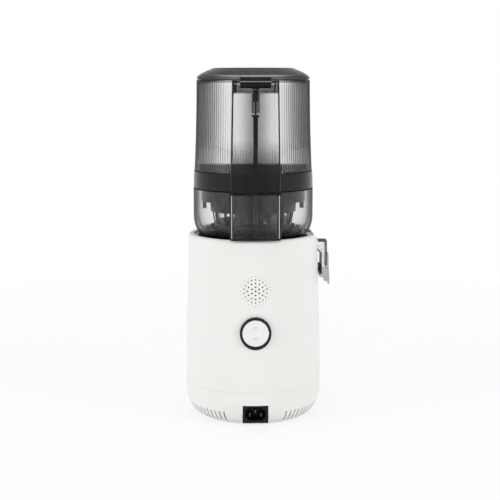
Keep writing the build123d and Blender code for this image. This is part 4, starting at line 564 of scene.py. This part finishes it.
def named_inputs(tree, kinds):
    """Adds inputs to a node tree by name and returns its group input node."""
    for name, kind in kinds.items():
        tree.interface.new_socket(name, in_out="INPUT", socket_type="NodeSocket" + kind)
    tree.interface.new_socket("Result", in_out="OUTPUT", socket_type="NodeSocketGeometry")
    return tree.nodes.new("NodeGroupInput")


def painted(tree, geometry, material):
    """Ends a tree: realize instances, set the material, put out."""
    real = tree.nodes.new("GeometryNodeRealizeInstances")
    paint = tree.nodes.new("GeometryNodeSetMaterial")
    out = tree.nodes.new("NodeGroupOutput")
    tree.links.new(geometry, real.inputs["Geometry"])
    tree.links.new(real.outputs["Geometry"], paint.inputs["Geometry"])
    tree.links.new(material, paint.inputs["Material"])
    tree.links.new(paint.outputs["Geometry"], out.inputs["Result"])


def fluted_tree():
    """A fluted tube wall, wrapped round the upright axis from a profile."""
    tree = bpy.data.node_groups.new("fluted_wall", "GeometryNodeTree")
    kinds = {"Profile": "Geometry", "Flutes": "Int", "Steps": "Int", "Rows": "Int", "Finish": "Material"}
    given = named_inputs(tree, kinds)
    add, join = tree.nodes.new, tree.links.new
    across = maths(tree, "MULTIPLY", given.outputs["Flutes"], given.outputs["Steps"])
    grid = add("GeometryNodeMeshGrid")
    join(maths(tree, "ADD", across, 1), grid.inputs["Vertices X"])
    join(maths(tree, "ADD", given.outputs["Rows"], 1), grid.inputs["Vertices Y"])
    place = add("GeometryNodeInputPosition")
    split = add("ShaderNodeSeparateXYZ")
    join(place.outputs[0], split.inputs[0])
    angle = maths(tree, "MULTIPLY", maths(tree, "ADD", split.outputs["X"], 0.5), 2 * math.pi)
    row = maths(tree, "MULTIPLY", maths(tree, "ADD", split.outputs["Y"], 0.5), given.outputs["Rows"])
    row = maths(tree, "MODULO", maths(tree, "ROUND", row), given.outputs["Rows"])
    sample = add("GeometryNodeSampleIndex")
    sample.data_type = "FLOAT_VECTOR"
    join(given.outputs["Profile"], sample.inputs["Geometry"])
    join(place.outputs[0], sample.inputs["Value"])
    join(row, sample.inputs["Index"])
    wall = add("ShaderNodeSeparateXYZ")
    join(sample.outputs["Value"], wall.inputs[0])
    turns = maths(tree, "MULTIPLY", angle, maths(tree, "MULTIPLY", given.outputs["Flutes"], 0.5))
    wave = maths(tree, "ABSOLUTE", maths(tree, "SINE", turns))
    radius = maths(tree, "SUBTRACT", wall.outputs["X"], maths(tree, "MULTIPLY", wall.outputs["Y"], wave))
    put = add("ShaderNodeCombineXYZ")
    join(maths(tree, "MULTIPLY", radius, maths(tree, "COSINE", angle)), put.inputs["X"])
    join(maths(tree, "MULTIPLY", radius, maths(tree, "SINE", angle)), put.inputs["Y"])
    join(wall.outputs["Z"], put.inputs["Z"])
    move = add("GeometryNodeSetPosition")
    join(grid.outputs["Mesh"], move.inputs["Geometry"])
    join(put.outputs[0], move.inputs["Position"])
    weld = add("GeometryNodeMergeByDistance")
    weld.inputs["Distance"].default_value = WELD
    join(move.outputs["Geometry"], weld.inputs["Geometry"])
    smooth = add("GeometryNodeSetShadeSmooth")
    join(weld.outputs["Geometry"], smooth.inputs["Geometry"])
    painted(tree, smooth.outputs["Geometry"], given.outputs["Finish"])
    return tree


def grown(name, source, tree, values):
    """A plain mesh object from a node tree that runs on a source mesh."""
    maker = bpy.data.objects.new(name + "_source", source)
    scene.collection.objects.link(maker)
    modifier = maker.modifiers.new("grow", "NODES")
    modifier.node_group = tree
    for item in tree.interface.items_tree:
        if item.in_out == "INPUT" and item.name in values:
            modifier[item.identifier] = values[item.name]
    maker.update_tag()
    ready = maker.evaluated_get(bpy.context.evaluated_depsgraph_get())
    mesh = bpy.data.meshes.new_from_object(ready)
    mesh.name = name
    bpy.data.objects.remove(maker)
    while mesh.materials and mesh.materials[0] is None:
        mesh.materials.pop(index=0)
    piece = bpy.data.objects.new(name, mesh)
    scene.collection.objects.link(piece)
    return piece


counts = {"Flutes": FLUTES, "Steps": STEPS, "Rows": len(profile.vertices), "Finish": finish["hopper"]}
hopper_wall = grown("hopper_wall", profile, fluted_tree(), counts)
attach(hopper_wall, "hopper")
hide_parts("hopper_body")
print("hopper wall faces:", len(hopper_wall.data.polygons))

# %% [markdown]
# ## Dark linings of painted shade
# Light must not shine through the base. Behind the field of small holes lies a black sheet, and
# behind the slots of the foot runs a dark band. Both are painted shade: they stand in for the shade
# inside the housing, which makes the real holes and slots look dark. Both are curved sheets with a
# little thickness, set just inside the wall, and one helper makes them from a function for the
# wall's radius.

# %% Painted shade behind the holes and behind the slots
HOUSING_WALL = 2.5
CLEAR = 0.25
SHEET = 0.5
ROUND_TOP, ROUND_START, ROUND_WIDTH = 34.0, 62.8, 22.0
BELLY_HEIGHT, BEND_HEIGHT, RIM_HEIGHT = 43.5, 136.15, 228.8
BELLY_RADIUS, RIM_RADIUS, HALF_FALL = 84.8, 81.0, 1.9
VENT_SHADE_ANGLE, VENT_SHADE_HEIGHTS = 15, (147, 189)
BAND_ANGLES, BAND_HEIGHTS = (24, 82), (4.6, 19.0)


def housing_radius(height):
    """The base's outside radius in mm: a quarter ellipse at the foot, and an S curve above it."""
    if height < ROUND_TOP:
        drop = (height - ROUND_TOP) / ROUND_TOP
        return ROUND_START + ROUND_WIDTH * math.sqrt(1 - drop ** 2)
    share = (min(max(height, BELLY_HEIGHT), RIM_HEIGHT) - BELLY_HEIGHT) / (BEND_HEIGHT - BELLY_HEIGHT)
    if share < 1:
        return BELLY_RADIUS - HALF_FALL * share * share
    return RIM_RADIUS + HALF_FALL * (2 - share) ** 2


def lining(name, start, end, low, high, columns, rows, material):
    """A curved sheet inside the wall, between two angles from the back and two heights."""
    sheet = bmesh.new()
    grids = []
    for inset in (HOUSING_WALL + CLEAR, HOUSING_WALL + CLEAR + SHEET):
        grid = []
        for row in range(rows + 1):
            height = low + (high - low) * row / rows
            radius = housing_radius(height) - inset
            line = []
            for column in range(columns + 1):
                angle = math.radians(start + (end - start) * column / columns)
                spot = (radius * math.sin(angle), -radius * math.cos(angle), height)
                line.append(sheet.verts.new([MM * value for value in spot]))
            grid.append(line)
        grids.append(grid)
    outer, inner = grids
    for row in range(rows):
        for column in range(columns):
            a, b = outer[row], outer[row + 1]
            sheet.faces.new((a[column], a[column + 1], b[column + 1], b[column]))
            a, b = inner[row], inner[row + 1]
            sheet.faces.new((a[column], b[column], b[column + 1], a[column + 1]))
    for column in range(columns):
        a, b = outer[0], inner[0]
        sheet.faces.new((a[column], b[column], b[column + 1], a[column + 1]))
        a, b = outer[rows], inner[rows]
        sheet.faces.new((a[column], a[column + 1], b[column + 1], b[column]))
    for row in range(rows):
        above = row + 1
        sheet.faces.new((outer[row][0], outer[above][0], inner[above][0], inner[row][0]))
        sheet.faces.new((outer[row][-1], inner[row][-1], inner[above][-1], outer[above][-1]))
    bmesh.ops.recalc_face_normals(sheet, faces=sheet.faces)
    for face in sheet.faces:
        face.smooth = True
    mesh = bpy.data.meshes.new(name)
    sheet.to_mesh(mesh)
    sheet.free()
    mesh.materials.append(material)
    piece = bpy.data.objects.new(name, mesh)
    scene.collection.objects.link(piece)
    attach(piece, "base")
    return piece


# Painted shade: black sheets that stand in for the shade inside the housing behind its holes and slots.
finish["cloth"] = moulded("dust_cloth", (0.006, 0.006, 0.006), (0.8, 0.9), 0.8, 2500.0, 0.3, shine=0.1)
finish["band"] = moulded("painted_slot_shade", (0.01, 0.01, 0.01), (0.7, 0.8), 0.4, 1500.0, 0.1, shine=0.2)
cloth = lining("vent_cloth", -VENT_SHADE_ANGLE, VENT_SHADE_ANGLE, *VENT_SHADE_HEIGHTS, 20, 12, finish["cloth"])
near, far = BAND_ANGLES
bands = [
    lining("slot_shade_left", -far, -near, *BAND_HEIGHTS, 40, 8, finish["band"]),
    lining("slot_shade_right", near, far, *BAND_HEIGHTS, 40, 8, finish["band"]),
]
print("linings:", cloth.name, [band.name for band in bands])

# %% [markdown]
# ## The words on the rocker
# The two halves of the switch carry the usual words ON and REV, printed small in grey. They are
# text objects turned into meshes and laid a hair's breadth in front of the button, and they ride
# on it, so that they tilt with it.

# %% Lettering
ROCKER_FACE = -84.4
SWITCH_HEIGHT = 117.0
WORD_SIZE = 3.4
WORD_OFFSET = 6.9
PRINT_LIFT = 0.02
PRINT_THICK = 0.03


def printed(name, text, height):
    """A flat word on the rocker's face, as a mesh."""
    data = bpy.data.curves.new(name, "FONT")
    data.body = text
    data.align_x = "CENTER"
    data.align_y = "CENTER"
    data.size = WORD_SIZE * MM
    data.extrude = PRINT_THICK * MM / 2
    data.resolution_u = 4
    maker = bpy.data.objects.new(name + "_text", data)
    scene.collection.objects.link(maker)
    bpy.context.view_layer.update()
    ready = maker.evaluated_get(bpy.context.evaluated_depsgraph_get())
    mesh = bpy.data.meshes.new_from_object(ready)
    mesh.name = name
    bpy.data.objects.remove(maker)
    front = ROCKER_FACE - PRINT_LIFT - PRINT_THICK / 2
    for vertex in mesh.vertices:
        x, y, z = vertex.co
        vertex.co = (x, front * MM - z, height * MM + y)
    mesh.materials.clear()
    mesh.materials.append(finish["print"])
    piece = bpy.data.objects.new(name, mesh)
    scene.collection.objects.link(piece)
    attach(piece, "rocker")
    return piece


finish["print"] = moulded("grey_print", (0.42, 0.42, 0.42), (0.5, 0.6), 0.1, shine=0.3)
words = [
    printed("word_on", "ON", SWITCH_HEIGHT + WORD_OFFSET),
    printed("word_rev", "REV", SWITCH_HEIGHT - WORD_OFFSET),
]
print("words:", [word.name for word in words])
